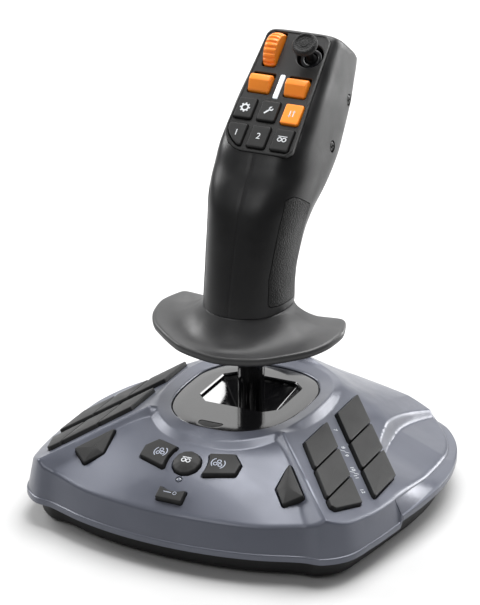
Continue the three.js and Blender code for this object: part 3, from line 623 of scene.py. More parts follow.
def below_top(down, inset=0.0):
    """A height this far under the top, taken from the top a little further out."""
    return lambda a, r: top_height(a, r + inset) - down


def above_bottom(rise):
    """A height this far above the housing's lower edge."""
    return lambda a, r: bottom_height(a, foot_radius(a)) + rise


def wall_loop(share):
    """A loop of the outer wall, from the rounded rim at 0 to the lip at 1."""
    def height(a, r):
        high = top_height(a, rim_radius(a)) - HOUSING.rim_round
        low = bottom_height(a, foot_radius(a)) + HOUSING.lip
        return high + (low - high) * share
    return ring(between(rim_radius, foot_radius, HOUSING.lean * share), height)


def housing_loops():
    """The shell's skin: over the collar and the top, down the wall and the lip, and back along the inside."""
    collar_end, rim_start, inner_start, roof_gap = 14, 2.2, 12, 0.8
    loops = [ring(opening_radius, OPENING_Z - 0.5)]
    for out in np.concatenate((np.linspace(0.4, 12, 30), [13, collar_end])):
        loops.append(ring(offset(opening_radius, out), below_top(0.12 if out < 0.5 else 0)))
    inner, outer = offset(opening_radius, collar_end), offset(rim_radius, -rim_start)
    loops += [ring(between(inner, outer, t), top_height) for t in np.linspace(0, 1, 74)[1:]]
    for back, down in ((1.4, 0.06), (0.8, 0.22), (0.35, 0.5), (0.08, 0.9), (0, HOUSING.rim_round)):
        loops.append(ring(offset(rim_radius, -back), below_top(down)))
    loops += [wall_loop(t) for t in np.linspace(0, 1, 16)[1:]]
    for t, rise in ((0.82, 0.985), (0.9, 0.95), (0.96, 0.9), (0.99, 0.8), (1, 0.66), (1, 0.3), (1, 0)):
        loops.append(ring(between(rim_radius, foot_radius, t), above_bottom(HOUSING.lip * rise)))
    thick = HOUSING.wall + 1.2
    loops.append(ring(offset(foot_radius, -HOUSING.wall), above_bottom(0)))
    loops.append(ring(offset(rim_radius, -thick), below_top(roof_gap + thick, thick)))
    inner = offset(opening_radius, inner_start)
    for t in (0.92, 0.82, 0.72, 0.62, 0.5, 0.38, 0.25, 0.12, 0):
        loops.append(ring(between(inner, rim_radius, t), below_top(thick)))
    loops.append(ring(opening_radius, OPENING_Z - HOUSING.wall))
    return loops


def wing_plane(side):
    """The plane of a wing's button banks; x runs outward on both sides."""
    across, up = 1 / WING_STRETCH, WING.slope / WING_STRETCH
    return Plane((0, 0, WING.z), (side * across, 0, -up), Y_AXIS, (side * up, 0, across))


def line_through(x0, y0, x1, y1):
    """The straight line through two points, as a function of x."""
    return lambda x: y0 + (x - x0) * (y1 - y0) / (x1 - x0)


# The two rows of buttons on a wing, in plan: inner and outer edge, and where each button starts and ends.
BANKS = [
    dict(inner=line_through(51, -35, 80.5, -69), outer=line_through(51.5, -6.5, 91.2, -51),
         stops=(51, 64, 78, 89.5)),
    dict(inner=line_through(51.3, 6.8, 92.7, -39), outer=line_through(52.9, 33, 94.7, -12.7),
         stops=(51.5, 66.5, 80, 93.5)),
]
BANK_TIP = [(81.5, -70), (84, -69.5), (91, -51)]
LEAF = [(51.3, -52.4), (50.9, -67.8), (58.3, -76.2), (67.4, -70.2)]
WEDGE = [(9.2, -61.9), (22, -57.6), (27.8, -62.9), (27.7, -70), (11, -76.2), (11.6, -72.6), (11.6, -68.7),
         (10.8, -65.1)]
START = [(-7.5, -3.7), (7.5, -3.7), (7.4, 3.9), (3.7, 2.4), (0, 1.9), (-3.7, 2.4), (-7.4, 3.9)]


def bank_outline(bank, index):
    """The outline of a button of a row, in plan; the front one of the inner row has a cut tip."""
    stops, inner, outer = (BANKS[bank][key] for key in ("stops", "inner", "outer"))
    start = stops[index] + (SPLIT if index else 0)
    end = stops[index + 1] - (SPLIT if index < 2 else 0)
    is_front_tip = bank == 0 and index == 2
    far_side = BANK_TIP if is_front_tip else [(end, inner(end)), (end, outer(end))]
    return [(start, inner(start))] + far_side + [(start, outer(start))]


def mirror_side(points, side):
    """An outline of the right side, or its mirror image for side -1."""
    return [(side * x, y) for x, y in points]


def base_buttons():
    """name, plane, outline, corner radius, height, bevel and crown of every button of the base."""
    made = []
    for name, side in (("right", 1), ("left", -1)):
        plane = wing_plane(side)
        for number in range(6):
            outline = [(x * WING_STRETCH, y) for x, y in bank_outline(number // 3, number % 3)]
            made.append((f"{name}_bank_button_{number + 1}", plane, outline, 1.0, 2.4, 0.6, 0.3))
        plane = sloping((side * 58, -67.5, 41.2), side * 0.12, 0.56)
        outline = onto(plane, mirror_side(LEAF, side))
        made.append((f"leaf_button_{name}", plane, outline, 1.2, 2.5, 0.9, 0.9))
        plane = sloping((side * 19, -67, 46.3), side * -0.1, 0.36)
        outline = onto(plane, mirror_side(WEDGE, side))
        made.append((f"cluster_button_{name}", plane, outline, 1.0, 3.0, 0.8, 0.1))
    plane = sloping((0, -70.6, 46.9), 0, 0.5)
    made.append(("centre_button", plane, circle(7.7, 12), 3.0, 2.0, 1.2, 1.2))
    plane = sloping((0, -89.5, 36.6), 0, 0.56)
    made.append(("start_button", plane, START, 0.8, 2.4, 0.7, 0.05))
    return made


BUTTONS = base_buttons()
LENS_PLANE = sloping((0, -80.3, 42.2), 0, 0.56)


# ---------------------------------------------------------------- printed marks
class Pen:
    """Draws thin raised marks in one material on a plane, and keeps them in its list."""

    def __init__(self, plane, height, material, thick=0.05):
        self.plane, self.height, self.material, self.thick = plane, height, material, thick
        self.marks = []

    def patch(self, outline):
        self.keep(prism("mark", self.plane, outline, self.height - 0.1, self.height + self.thick))

    def keep(self, obj):
        obj.data.materials.append(self.material)
        self.marks.append(obj)

    def stroke(self, x0, y0, x1, y1, width):
        self.patch(bar(x0, y0, x1, y1, width))

    def arc(self, cx, cy, radius, width, start=0.0, span=TURN):
        """A band round a centre, a full circle or a part of it, in short segments."""
        count = max(6, int(span / TURN * 24))
        inner, outer = radius - width / 2, radius + width / 2
        for k in range(count):
            a, b = start + span * k / count, start + span * (k + 1) / count
            corners = ((inner, a), (outer, a), (outer, b), (inner, b))
            self.patch([(cx + r * math.cos(t), cy + r * math.sin(t)) for r, t in corners])

    def digits(self, text, cx, cy, size, turn=0.0, mirror=1):
        """Numbers laid flat on the plane, turned in it."""
        mesh = flat_text(text)
        flat = np.array([v.co for v in mesh.vertices], float)
        flat[:, 0] *= mirror
        c, s = math.cos(turn), math.sin(turn)
        x = cx + size * (flat[:, 0] * c - flat[:, 1] * s)
        y = cy + size * (flat[:, 0] * s + flat[:, 1] * c)
        verts = self.plane.at(np.stack((x, y), axis=1), self.height + flat[:, 2] * 2)
        self.keep(mesh_object("digits", verts, [tuple(p.vertices) for p in mesh.polygons]))


def flat_text(text):
    """A mesh of text one unit high, centred on its origin."""
    curve = bpy.data.curves.new("digits", "FONT")
    curve.body = text
    curve.size = 1.0
    curve.align_x = "CENTER"
    curve.align_y = "CENTER"
    curve.extrude = 0.02
    holder = new_object("digits", curve)
    mesh = evaluated_mesh(holder)
    bpy.data.objects.remove(holder)
    return mesh


def clover(pen, cx, cy, size):
    """Three small rings with a curved stroke on each side."""
    for k in range(3):
        a = math.pi / 2 + k * TURN / 3
        pen.arc(cx + size * 0.42 * math.cos(a), cy + size * 0.42 * math.sin(a), size * 0.27, size * 0.13)
    for middle in (0, math.pi):
        pen.arc(cx, cy, size, size * 0.14, middle - 0.9, 1.8)


def cog(pen, cx, cy, size):
    pen.arc(cx, cy, size * 0.62, size * 0.3)
    for k in range(8):
        c, s = size * math.cos(k * TURN / 8), size * math.sin(k * TURN / 8)
        pen.stroke(cx + c * 0.7, cy + s * 0.7, cx + c, cy + s, size * 0.3)


def spanner(pen, cx, cy, size):
    start, end, jaw = size * 0.7, size * 0.35, size * 0.5
    pen.stroke(cx - start, cy - start, cx + end, cy + end, size * 0.34)
    pen.arc(cx + jaw, cy + jaw, size * 0.36, size * 0.26, math.pi / 4 + 0.7, TURN - 1.4)


def arrows(pen, cx, cy, size):
    """Two arrows side by side, one down and one up."""
    for k in (-1, 1):
        x = cx + k * size * 0.42
        pen.stroke(x, cy - size * 0.75, x, cy + size * 0.75, size * 0.24)
        tip = cy + k * size * 0.95
        barb = tip - k * size * 0.5
        pen.patch([(x - size * 0.34, barb), (x + size * 0.34, barb), (x, tip)])


def linked_rings(pen, cx, cy, size):
    """Two rings side by side under a stroke."""
    for k in (-1, 1):
        pen.arc(cx + k * size * 0.5, cy, size * 0.42, size * 0.2)
    pen.stroke(cx - size, cy + size * 0.75, cx + size, cy + size * 0.75, size * 0.16)


def stroke_and_ring(pen, cx, cy, size):
    y = cy - size * 0.4
    pen.arc(cx + size * 2.4, y, size * 0.9, size * 0.28)
    pen.stroke(cx - size * 4, y, cx + size * 0.4, y, size * 0.4)


def first(pen, cx, cy, size):
    """A 1, set off the middle because its key has a cut corner."""
    pen.digits("1", cx + 0.6, cy + 0.8, size)


def second(pen, cx, cy, size):
    pen.digits("2", cx, cy, size)


# Along the strip between the two rows of a wing, as shares of its length: where each number and wave is.
STRIP_NUMBERS = ((0.03, 1), (0.30, 2), (0.42, 3), (0.62, 4), (0.74, 5), (0.95, 6))
STRIP_WAVES = (0.36, 0.68)
STRIP_ENDS = (55.5, 88.5)
# The mark on a button of the base, its size, its height on the button and its material.
BASE_MARKS = {
    "cluster_button_right": (clover, 3.7, 3.08, DIM_PRINT),
    "cluster_button_left": (clover, 3.7, 3.08, DIM_PRINT),
    "centre_button": (linked_rings, 2.6, 3.17, PRINT),
    "start_button": (stroke_and_ring, 1.0, 2.44, DIM_PRINT),
}
FACE_MARKS = {
    "upper_key_1": (cog, 2.9), "upper_key_2": (spanner, 2.7), "upper_key_3": (arrows, 2.4),
    "lower_key_1": (first, 5.2), "lower_key_2": (second, 5.2), "lower_key_3": (linked_rings, 2.6),
}


def strip_point(share, side_step=0.0):
    """A point of the strip between a wing's two rows of buttons, in wing coordinates."""
    x = STRIP_ENDS[0] + (STRIP_ENDS[1] - STRIP_ENDS[0]) * share
    y = (BANKS[0]["outer"](x) + BANKS[1]["inner"](x)) / 2
    return np.array((x * WING_STRETCH, y + side_step))


def strip_marks():
    """Numbers along the strips between the two rows of each bank, and thin waves that part them."""
    marks = []
    for side in (-1, 1):
        pen = Pen(wing_plane(side), MARK_LIFT, PRINT, MARK_LIFT)
        for share, number in STRIP_NUMBERS:
            x, y = strip_point(share)
            pen.digits(str(number + (6 if side > 0 else 0)), x, y, 3.4, -0.5 * side, side)
        for share in STRIP_WAVES:
            steps = [(0.016 * k, 0.9 * k * (1 if abs(k) > 1 else 0.4)) for k in range(-4, 5)]
            points = [strip_point(share + along, across) for along, across in steps]
            for start, end in zip(points, points[1:]):
                pen.stroke(*start, *end, 0.28)
        marks += pen.marks
    return marks


# ---------------------------------------------------------------- building the base
def seam_cutter(side):
    """A thin upright cutter for the seam on each side: it follows the leaning wall, 0.45 mm wide."""
    outer = 112                         # outside the widest part of the housing
    front, skew, width = -27.75, 1.0, 0.45
    loops = []
    for inner, z in ((104.0, 12), (100.1, 28)):
        loops.append([(side * inner, front + width, z), (side * outer, front + width + skew, z),
                      (side * outer, front + skew, z), (side * inner, front, z)])
    return mesh_object("seam", *loft(loops))


def build_housing():
    """The shell with a well for each button, the lens and the gland, side seams and printed numbers."""
    shell = mesh_object("housing_shell", *loft(housing_loops(), ring=True))
    for name, plane, outline, corner, *_ in BUTTONS:
        mouth = grown(rounded(outline, corner), WELL_GAP)
        carve(shell, flared(f"{name}_well", plane, mouth, -14, 12, 0.45))
    carve(shell, flared("lens_well", LENS_PLANE, circle(1.75, 32), -8, 8, 0.3))
    gland_plane = Plane((0, 97, GLAND.z), X_AXIS, Z_AXIS, (0, -1, 0))
    carve(shell, prism("gland_well", gland_plane, circle(4.9, 48), -12, 12))
    for side in (-1, 1):
        carve(shell, seam_cutter(side))
    paint(shell, "housing_plastic")
    whole = joined("housing_shell_marked", [shell] + strip_marks())
    finish(whole, "upper_housing", "base", "housing_plastic", painted=True)


def printed_key(key, node, slot, plane, outline, mark, size, height, material):
    """A key joined with the mark printed at the middle of its outline."""
    pen = Pen(plane, height, material)
    mark(pen, *outline.mean(axis=0), size)
    whole = joined(node + "_printed", [paint(key, slot)] + pen.marks)
    finish(whole, node, node, slot, painted=True)


def build_buttons():
    for name, plane, outline, corner, height, bevel, crown in BUTTONS:
        shape = rounded(outline, corner)
        key = key_shape(name + "_cap", plane, shape, -8, height, bevel, crown)
        if name in BASE_MARKS:
            printed_key(key, name, "key_plastic", plane, shape, *BASE_MARKS[name])
        else:
            finish(key, name, name, "key_plastic")
    lens = key_shape("lens_cap", LENS_PLANE, circle(1.4, 32), -3, -0.1, 0.3, 0.2)
    finish(lens, "indicator_lens", "base", "clear_lens")


def build_base_tray():
    """The base plate as a tray: inside floor and wall, the skirt's top edge, outside wall and underside."""
    foot, floor, top, wall = BASE.foot, BASE.floor, BASE.skirt_top, BASE.wall
    steps = [
        (wall + 6, floor), (wall + 1, floor), (wall, floor + 1.2), (wall, top - 0.3), (wall - 0.3, top),
        (0.3, top), (0, top - 0.3), (0, foot + 3.2), (0.3, foot + 1.6), (1.0, foot + 0.5), (2.2, foot),
        (8, foot),
    ]
    loops = [ring(offset(foot_radius, -BASE.inset - inward), z) for inward, z in steps]
    finish(mesh_object("base_tray", *loft(loops)), "base_plate", "base", "black_plastic")


def build_feet():
    profile = filleted(slab(0, FOOT_PAD.radius, 0, FOOT_PAD.thick), 0.35)
    for end, y in (("front", -62), ("rear", 66)):
        for name, side in (("right", 1), ("left", -1)):
            pad = lathe(f"foot_pad_{end}_{name}", profile, 48, level(side * FOOT_PAD.x, y, 0))
            finish(pad, f"foot_{end}_{name}", "base", "foot_rubber")


def build_gland():
    """A sleeve in the rear wall with a ribbed tail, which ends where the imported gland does."""
    collar, end = GLAND.collar, GLAND.end
    body = [(2, 0), (4.4, 0), (4.4, collar)]
    ribs = [(4.1, 5.6), (4.1, 6.2), (3.8, 6.4), (3.8, 7.0), (3.4, 7.4), (3.2, 9.4), (2.8, 11.2), (2, end)]
    limit = (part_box("cable_gland")[1].y - SHIFT_Y) / MM - GLAND.y
    stretch = (limit - collar) / (end - collar)
    profile = body + [(r, collar + (h - collar) * stretch) for r, h in ribs]
    plane = Plane((0, GLAND.y, GLAND.z), X_AXIS, (0, 0, -1), Y_AXIS)
    finish(lathe("gland_sleeve", profile, 48, plane, ring=True), "cable_gland", "base", "black_plastic")


def cover_opening(grow):
    """The opening of the gimbal cover about the stick's axis: a rectangle with its corners cut off."""
    x, y, c = COVER.half_x + grow, COVER.half_y + grow, COVER.corner
    rear = [(x, y - c), (x - c, y), (c - x, y), (-x, y - c)]
    corners = rear + [(-a, -b) for a, b in rear]
    return rounded(corners, COVER.round)


TO_AXIS = np.array((0, AXIS_Y))


def build_cover():
    """The glossy disc in the collar, with its opening and a matt tab let into its front."""
    flat = level(0, 0, COVER.z)
    angles = (np.arange(240) + 0.5) * TURN / 240
    r = opening_radius(angles) - COVER.edge_gap
    outline = np.stack((r * np.cos(angles), r * np.sin(angles)), axis=1)
    disc = key_shape("cover_disc", flat, outline, -COVER.thick, 0, 0.5)
    carve(disc, flared("cover_mouth", flat, cover_opening(0) + TO_AXIS, -THROUGH, THROUGH, 0.7))
    tab = [(-9.5, -36.2), (-8.2, -41.2), (-3.5, -43.4), (1.5, -42.9), (4.5, -40.2), (5.4, -36.2)]
    carve(disc, prism("tab_recess", flat, rounded(tab, 2.0), -0.8, 3))
    insert = key_shape("cover_tab", flat, rounded(grown(tab, -0.25), 2.0), -1.2, -0.15, 0.3, 0.1)
    parts = [paint(disc, "gloss_black"), paint(insert, "black_plastic")]
    finish(joined("gimbal_cover_disc", parts), "gimbal_cover", "base", "gloss_black", painted=True)


def build_bowl():
    """The funnel under the cover, from the opening's outline to a round hole, and a flange at its top."""
    top = COVER.z - COVER.thick - 0.35
    mouth, outer, flange = (cover_opening(grow) for grow in (0.5, 2.2, 5))
    middle = cover_opening(0)
    round_hole = middle / np.linalg.norm(middle, axis=1)[:, None]
    steps = [
        (mouth, top), (mouth * 0.985, top - 1.0), (mouth * 0.8, 48.5), (round_hole * 14.4, 40.4),
        (round_hole * 14, 40), (round_hole * 15.5, 38.6), (outer, top - 2), (flange, top - 2), (flange, top),
    ]
    loops = [np.column_stack((points + TO_AXIS, np.full(len(points), z))) for points, z in steps]
    bowl = mesh_object("gimbal_bowl_funnel", *loft(loops, ring=True), sharp=20)
    finish(bowl, "gimbal_bowl", "base", "gloss_black")


def build_shaft():
    outer = [(4, 36.35), (7.4, 36.35), (7.4, 83.5), (14.5, 92.5), (7.4, 92.5), (7.4, 136), (4, 136)]
    inner = [(4, 130), (4, 60), (4, 40)]
    tube = lathe("shaft_column", filleted(outer, 0.8) + inner, 96, level(0, AXIS_Y, 0), ring=True)
    finish(tube, "shaft", "stick", "gloss_black")


# ---------------------------------------------------------------- hand rest
# Right half of the hand rest's rim.
REST_RIM = [(0, -38), (24, -33), (45, -18.5), (52.5, -6.5), (54.6, 8), (50, 22), (44, 24.2), (20, 24.6),
            (0, 24.6)]
REST = Sizes(tension=0.35, centre_y=5.3, neck_x=23.6, neck_y=26.8, rim_z=95.3, curl=0.0011, tilt=0.075,
             hole=11.5, under_z=94.2, spread_x=24, spread_y=27)


def rest_outline(per_span):
    """A closed curve through the rim's points; each tangent runs along the line between its neighbours."""
    points = np.array(mirrored(REST_RIM), float)
    count = len(points)
    out = []
    for i in range(count):
        p0, p1, p2, p3 = (points[(i + k) % count] for k in (-1, 0, 1, 2))
        v0, v1 = REST.tension * (p2 - p0), REST.tension * (p3 - p1)
        for k in range(per_span):
            t = k / per_span
            cubic = 2 * p1 - 2 * p2 + v0 + v1
            square = -3 * p1 + 3 * p2 - 2 * v0 - v1
            out.append(cubic * t ** 3 + square * t ** 2 + v0 * t + p1)
    return np.array(out)


def build_rest():
    """A flare from the neck out to the rim, a rolled edge, and back under to the hole for the shaft."""
    edge = rest_outline(14)
    centre_y = REST.centre_y
    angle = np.arctan2((edge[:, 1] - centre_y) / REST.spread_y, edge[:, 0] / REST.spread_x)
    neck = np.stack((REST.neck_x * np.cos(angle), centre_y + REST.neck_y * np.sin(angle)), axis=1)
    rim = REST.rim_z + REST.curl * edge[:, 0] ** 2 + REST.tilt * (edge[:, 1] + 38)

    def at(t, z):
        return np.column_stack((neck + (edge - neck) * t, z))

    def hole(radius, z):
        loop = (radius * np.cos(angle), AXIS_Y + radius * np.sin(angle), np.full(len(edge), z))
        return np.column_stack(loop)
    flat = np.full(len(edge), REST_NECK)
    loops = [at(-0.02, flat), at(0.006, flat - 0.25)]
    loops += [at(t, rim + (REST_NECK - rim) * (1 - t) ** 3) for t in np.linspace(0.02, 0.93, 30)]
    for t, down in ((0.955, 0.12), (0.975, 0.45), (0.99, 0.95), (0.998, 1.6), (1.0, 2.3), (0.996, 3.0),
                    (0.987, 3.7), (0.972, 4.15), (0.955, 4.3)):
        loops.append(at(t, rim - down))
    loops += [at(t, rim - 2.6 - 1.7 * (t - 0.6) / 0.35) for t in (0.85, 0.72, 0.6)]
    loops += [hole(19, REST.under_z), hole(REST.hole, REST.under_z), hole(REST.hole, REST_NECK)]
    rest = mesh_object("hand_rest_flare", *loft(loops, ring=True), sharp=50)
    finish(rest, "hand_rest", "grip", "rest_plastic")


# ---------------------------------------------------------------- grip
FACE = Plane((0, 11.65, 195.1), X_AXIS, (0, 0.767, 0.6417), (0, -0.6417, 0.767))
# One millimetre along the face plate, as a change to a grip station.
STATION_STEP = np.array((FACE.v[1], FACE.v[2], FACE.v[1], FACE.v[2], 0, 0))
SEAM_GROOVE = Sizes(deep=0.28, wide=0.55)
CORNER_GATHER = 0.13                    # shifts the points of a section towards its corners


def section(station, shrink, count=160, groove=0.0):
    """A loop of the grip across a station, its skin moved in by shrink, with a groove at front and rear."""
    fy, fz, ry, rz, half, power = station
    axis = np.array((0, ry - fy, rz - fz), float)
    depth = np.linalg.norm(axis) / 2
    axis /= np.linalg.norm(axis)
    centre = np.array((0, (fy + ry) / 2, (fz + rz) / 2))
    angle = (np.arange(count) + 0.5) * TURN / count
    angle = angle + CORNER_GATHER * np.sin(2 * angle)
    radius = superellipse(angle, half - shrink, depth - shrink, power)
    if groove:
        radius = radius - groove * np.exp(-(radius * np.cos(angle) / SEAM_GROOVE.wide) ** 2)
    points = centre + axis * (radius * np.sin(angle))[:, None]
    points[:, 0] = radius * np.cos(angle)
    return points


def grip_body(name, shrink, groove=0.0):
    """The grip's skin moved in by shrink; near the outer skin its top end is rolled over."""
    stations = spline(GRIP, 7)
    loops = [section(s, shrink, groove=groove) for s in stations[:-2]]
    last = stations[-1]
    roll, steps = 2.6, 6
    is_outer_skin = shrink <= 0.2
    if is_outer_skin:
        for k in range(steps + 1):
            a = k / steps * math.pi / 2
            back, inward = roll * (1 - math.sin(a)), roll * (1 - math.cos(a))
            loops.append(section(last - STATION_STEP * back, shrink + inward, groove=groove))
    else:
        loops.append(section(last, shrink))
    return mesh_object(name, *loft(loops))


def grip_cavity():
    stations = [np.array(s) for s in GRIP]
    stations[0] = np.array((-21.5, 107, 32.1, 107, 23.6, 2.3))
    stations[-1] = stations[-1] - STATION_STEP * 3.2
    return mesh_object("cavity", *loft([section(s, GRIP_WALL, 80) for s in stations]))


def plate_outline():
    """The face plate in its own plane, with its lower left corner cut back along the keys."""
    low, high = PLATE.low, PLATE.high
    wide, narrow, cut = PLATE.half_low, PLATE.half_high, 3
    corners = [(-8, low), (18, low), (wide, low + 3.5), (narrow, high - cut), (narrow - cut, high),
               (cut - narrow, high), (-narrow, high - cut), (-wide + 0.4, 14), (-20.2, 8.6), (-16.8, 3.2),
               (-12, 0)]
    return rounded(corners, PLATE.round)


def build_pad(whole, name, side):
    """Sinks a shallow field into the grip's side and lays the textured pad in it."""
    plane = facing_side((0, 0, 0), side)
    shape = rounded(PAD, 2.5)
    region = prism("pad_region", plane, grown(shape, 0.45), 10, 40)
    carve(region, grip_body("pad_floor", 1.3))
    carve(whole, region)
    pad = prism(f"pad_texture_{name}", plane, shape, 10, 40)
    carve(pad, grip_body("pad_outer", -0.08), "INTERSECT")
    carve(pad, grip_body("pad_inner", 1.0))
    finish(pad, f"grip_pad_{name}", "grip", "grip_rubber")


def build_grip():
    """One hollow body with its pockets and wells, parted into two halves along the middle."""
    outline = plate_outline()
    whole = grip_body("grip_whole", 0, groove=SEAM_GROOVE.deep)
    carve(whole, grip_cavity())
    carve(whole, prism("plate_pocket", FACE, grown(outline, 0.3), -PLATE.thick - 0.3, 8))
    carve(whole, prism("plate_window", FACE, grown(outline, -1.2), -9, 6))
    build_pad(whole, "left", -1)
    build_pad(whole, "right", 1)
    for at in HEAD_SCREWS.values():
        carve(whole, prism("screw_well", facing_side(at), circle(3.4, 40), -7, 7))
    for name, side in (("left", -1), ("right", 1)):
        half = mesh_object(f"grip_shell_{name}", *mesh_arrays(whole))
        block = prism("half_space", level(side * 30.04, 40, 180), slab(-30, 30, -120, 120), -110, 110)
        carve(half, block, "INTERSECT", sharp=38)
        finish(half, f"grip_{name}", "grip", "grip_plastic")
    bpy.data.objects.remove(whole)


def mesh_arrays(obj):
    """Vertices in design millimetres and faces of an object."""
    verts = np.array([v.co for v in obj.data.vertices], float)
    verts[:, 1] -= SHIFT_Y
    return verts / MM, [tuple(p.vertices) for p in obj.data.polygons]


def build_screws():
    profile = filleted([(0, -7), (1.4, -7), (1.4, -1.1), (2.7, -1.1), (2.7, 0.7), (2.0, 1.1), (0, 1.1)], 0.25)
    for name, at in HEAD_SCREWS.items():
        plane = facing_side((at[0] - 1.2, at[1], at[2]))
        screw = lathe(f"screw_{name}", profile, 40, plane)
        for slot in (bar(-1.7, 0, 1.7, 0, 0.9), bar(0, -1.7, 0, 1.7, 0.9)):
            carve(screw, prism("slot", plane, slot, 0.1, 3))
        finish(screw, f"head_screw_{name}", "grip", "black_steel")


# ---------------------------------------------------------------- controls on the face plate
def face_keys():
    """Outlines of the six keys; the first one of the lower row follows the plate's cut corner."""
    keys = {}
    low, high = 1.3, 14.6
    for number, x in enumerate(KEY_COLUMNS, 1):
        left, right = x - KEY_HALF, x + KEY_HALF
        keys[f"upper_key_{number}"] = slab(left, right, 18.2, 30.6)
        keys[f"lower_key_{number}"] = slab(left, right, low, high)
    x = KEY_COLUMNS[0]
    keys["lower_key_1"] = [(x + KEY_HALF, low), (x + KEY_HALF, high), (x - KEY_HALF, high), (x - 5, low + 9),
                           (x - 3.1, low + 5.8), (x, low + 2.6), (x + 2.9, low + 0.6)]
    return {name: rounded(points, KEY_ROUND) for name, points in keys.items()}


FACE_KEYS = face_keys()
LIGHT_SLOT = slab(-LIGHT.half, LIGHT.half, LIGHT.low, LIGHT.high)


def face_well(plate, name, outline, chamfer):
    """A well with a chamfered mouth, cut right through the face plate."""
    carve(plate, flared(name, FACE, outline, -THROUGH, THROUGH, chamfer))


def build_plate():
    outline = plate_outline()
    plate = key_shape("face_panel", FACE, outline, -PLATE.thick, 0.35, 0.45)
    carve(plate, prism("panel_step", FACE, grown(outline, -1.0), 0, 4))
    for points in FACE_KEYS.values():
        face_well(plate, "key_well", grown(points, 0.4), 0.3)
    for centre in (-ROCKER.centre, ROCKER.centre):
        points = slab(centre - ROCKER.slot, centre + ROCKER.slot, ROCKER.low, ROCKER.high)
        face_well(plate, "rocker_well", rounded(points, 1.0), 0.35)
    carve(plate, prism("light_well", FACE, grown(LIGHT_SLOT, 0.3), -THROUGH, THROUGH))
    slot = slab(WHEEL.x - WHEEL.slot_half, WHEEL.x + WHEEL.slot_half, WHEEL.v - WHEEL.slot_reach,
                WHEEL.v + WHEEL.slot_reach)
    face_well(plate, "wheel_well", rounded(slot, 1.6), 0.4)
    face_well(plate, "stick_well", circle(STICK.socket, 64, STICK.x, STICK.v), 0.5)
    finish(plate, "face_plate", "grip", "plate_plastic")


def build_face_keys():
    for name, points in FACE_KEYS.items():
        key = key_shape(name + "_cap", FACE, points, -5, KEY_TOP, 0.7)
        slot = "orange_plastic" if name == "upper_key_3" else "key_plastic"
        mark, size = FACE_MARKS[name]
        printed_key(key, name, slot, FACE, points, mark, size, KEY_TOP + MARK_LIFT, PRINT)
    light = key_shape("light_window", FACE, rounded(LIGHT_SLOT, 0.6), -5, 0.4, 0.35, 0.1)
    finish(light, "light_bar", "grip", "white_light")


def build_rockers():
    profile = rounded([(35.8, -4.6), (46.2, -4.6), (46.2, 1.6), (44.2, 4.5), (41, 4.5), (35.8, 0.8)], 1.8, 7)
    side_plane = Plane(FACE.origin, FACE.v, FACE.n, FACE.u)
    for name, sign in (("left", -1), ("right", 1)):
        left, right = sign * ROCKER.centre - ROCKER.half, sign * ROCKER.centre + ROCKER.half
        rocker = key_shape(f"rocker_cap_{name}", side_plane, profile, left, right, 0.8, both=True)
        finish(rocker, f"rocker_{name}", f"rocker_{name}", "orange_plastic")


def on_face(u, v, height):
    """A point given in the face plate's own directions."""
    return FACE.origin + FACE.u * u + FACE.v * v + FACE.n * height


def build_wheel():
    """A drum with rounded shoulders and ribs across it."""
    plane = Plane(on_face(WHEEL.x, WHEEL.v, WHEEL.centre), FACE.v, FACE.n, FACE.u)
    teeth, per_tooth = WHEEL.teeth, 16
    angle = np.arange(teeth * per_tooth) * TURN / (teeth * per_tooth)
    rib = 0.5 + 0.5 * np.tanh(2.2 * (np.cos(angle * teeth) + 0.25)) / np.tanh(2.75)
    half = WHEEL.width / 2
    hub, shoulder, shoulder_drop, rib_depth = 1.6, WHEEL.radius - 2.4, 1.1, 1.0

    def loop(radius, w):
        return plane.at(np.stack((radius * np.cos(angle), radius * np.sin(angle)), axis=1), w)
    loops = [loop(hub, -half), loop(shoulder, -half)]
    for t in np.linspace(-1, 1, 15):
        crown = WHEEL.radius - shoulder_drop * abs(t) ** 3.2
        loops.append(loop(crown - rib_depth * (1 - rib) * (1 - abs(t) ** 6), t * half))
    loops += [loop(shoulder, half), loop(hub, half)]
    drum = mesh_object("wheel_drum", *loft(loops, ring=True), sharp=40)
    finish(drum, "thumb_wheel", "thumb_wheel", "orange_plastic")


def build_thumbstick():
    cap = STICK.cap
    dish = filleted([(0, 6.7), (3.6, 6.7), (3.6, 9.3), (cap, 9.6), (cap, 11.3), (6.2, 12.6), (5.2, 12.6),
                     (4.7, 12.0), (2.4, 11.75), (2.0, 12.1), (0, 12.1)], 0.45)
    ball = [(3.2 * math.cos(a), 3.2 * math.sin(a)) for a in np.linspace(-1.4, 0.75, 14)]
    post = [(0, -3.2)] + ball + [(2.2, 2.6), (2.2, 10.1), (0, 10.1)]
    gimbal = filleted([(3.9, 0), (3.9, 1.5), (6.0, 1.5), (6.0, -1.5), (3.9, -1.5), (3.9, 0)], 0.3)[:-1]
    for name, node, profile, segments, height, slot in (
            ("stick_cap_dish", "thumbstick_cap", dish, 96, 0, "grip_rubber"),
            ("stick_post_ball", "thumbstick_post", post, 64, STICK.pivot, "black_plastic"),
            ("stick_gimbal_ring", "thumbstick_ring", gimbal, 64, STICK.pivot, "gloss_black")):
        plane = Plane(on_face(STICK.x, STICK.v, height), FACE.u, FACE.v, FACE.n)
        turned = lathe(name, profile, segments, plane, ring=profile is gimbal)
        finish(turned, node, node, slot)


# ---------------------------------------------------------------- everything together
# Inner pieces that keep their CAD shape, and their materials.
CARRIED = {
    "main_board": "circuit_board", "gimbal_frame": "steel", "pitch_yoke": "steel", "roll_carrier": "steel",
    "pitch_sensor": "circuit_board", "roll_sensor": "circuit_board", "centring_spring": "steel",
    "grip_board": "circuit_board", "twist_bushing": "nylon",
}


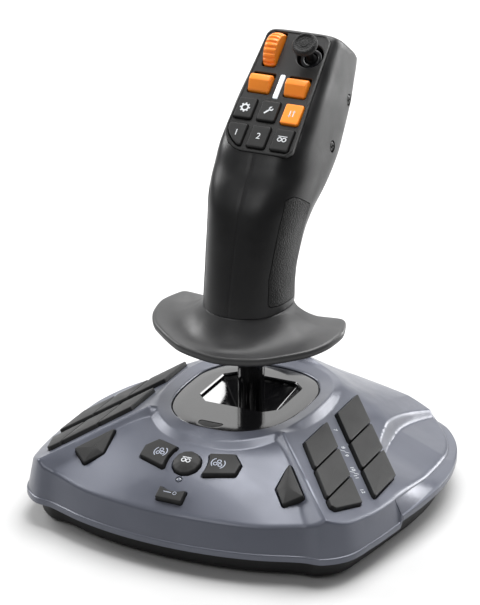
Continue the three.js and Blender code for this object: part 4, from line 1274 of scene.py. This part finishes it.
def build_stage():
    floor = prism("floor", level(0, 0, -0.02), slab(-4000, 4000, -4000, 4000), -20, 0)
    floor.data.materials.append(finish_material("floor_white", (0.56, 0.56, 0.56), 0.8, grain=1.5, bump=0.02,
                                                vary=0.01, dust=0.0))


# Name, place in metres, width, height and power of each soft light.
LIGHTS = (
    ("top", (0.1, 0.5, 1.5), 1.3, 1.3, 42),
    ("key_left", (-1.3, 0.1, 0.9), 0.7, 0.7, 14),
    ("front", (-0.3, -1.3, 1.3), 0.7, 0.7, 4.5),
    ("right_rear", (0.68, 1.3, 0.42), 0.45, 0.8, 13),
    ("left_rear", (-0.62, 1.25, 0.62), 1.6, 1.0, 7),
)
LIGHT_AIM = (0, 0, 0.12)
AMBIENT = 0.22


def aimed(name, data, at, aim):
    """A light or camera at one place, looking at another."""
    obj = new_object(name, data)
    obj.location = at
    obj.rotation_euler = (Vector(aim) - Vector(at)).to_track_quat("-Z", "Y").to_euler()
    return obj


def build_light():
    world = bpy.data.worlds.new("studio")
    bpy.context.scene.world = world
    world.use_nodes = True
    background = world.node_tree.nodes["Background"]
    background.inputs["Color"].default_value = (1.0, 1.0, 1.0, 1)
    background.inputs["Strength"].default_value = AMBIENT
    for name, at, width, height, power in LIGHTS:
        data = bpy.data.lights.new(name, "AREA")
        data.shape = "RECTANGLE"
        data.size = width
        data.size_y = height
        data.energy = power
        aimed(name, data, at, LIGHT_AIM)
    bpy.context.scene.view_settings.view_transform = "Standard"


# Target in design millimetres, angles in degrees, distance in millimetres.
CAMERA = Sizes(target=(-3.205, 1.0, 111.345), azimuth=25.3956, elevation=22.3, distance=1418.1,
               focal_px=2631.684, long_side_px=605, sensor=36.0)


def build_camera():
    data = bpy.data.cameras.new("camera")
    data.sensor_width = CAMERA.sensor
    data.sensor_fit = "AUTO"
    data.lens = CAMERA.focal_px / CAMERA.long_side_px * CAMERA.sensor
    data.clip_end = 50
    azimuth, elevation = math.radians(CAMERA.azimuth), math.radians(CAMERA.elevation)
    away = np.array((math.sin(azimuth) * math.cos(elevation), -math.cos(azimuth) * math.cos(elevation),
                     math.sin(elevation)))
    target = place([CAMERA.target])[0]
    bpy.context.scene.camera = aimed("camera", data, target + away * CAMERA.distance * MM, target)


def build():
    for step in (
            build_housing, build_buttons, build_base_tray, build_feet, build_gland, build_cover, build_bowl,
            build_shaft, build_rest, build_grip, build_screws, build_plate, build_face_keys, build_rockers,
            build_wheel, build_thumbstick, build_stage, build_light, build_camera):
        step()
    for node, slot in CARRIED.items():
        paint(NODES[node], slot)


build()
bpy.context.view_layer.update()
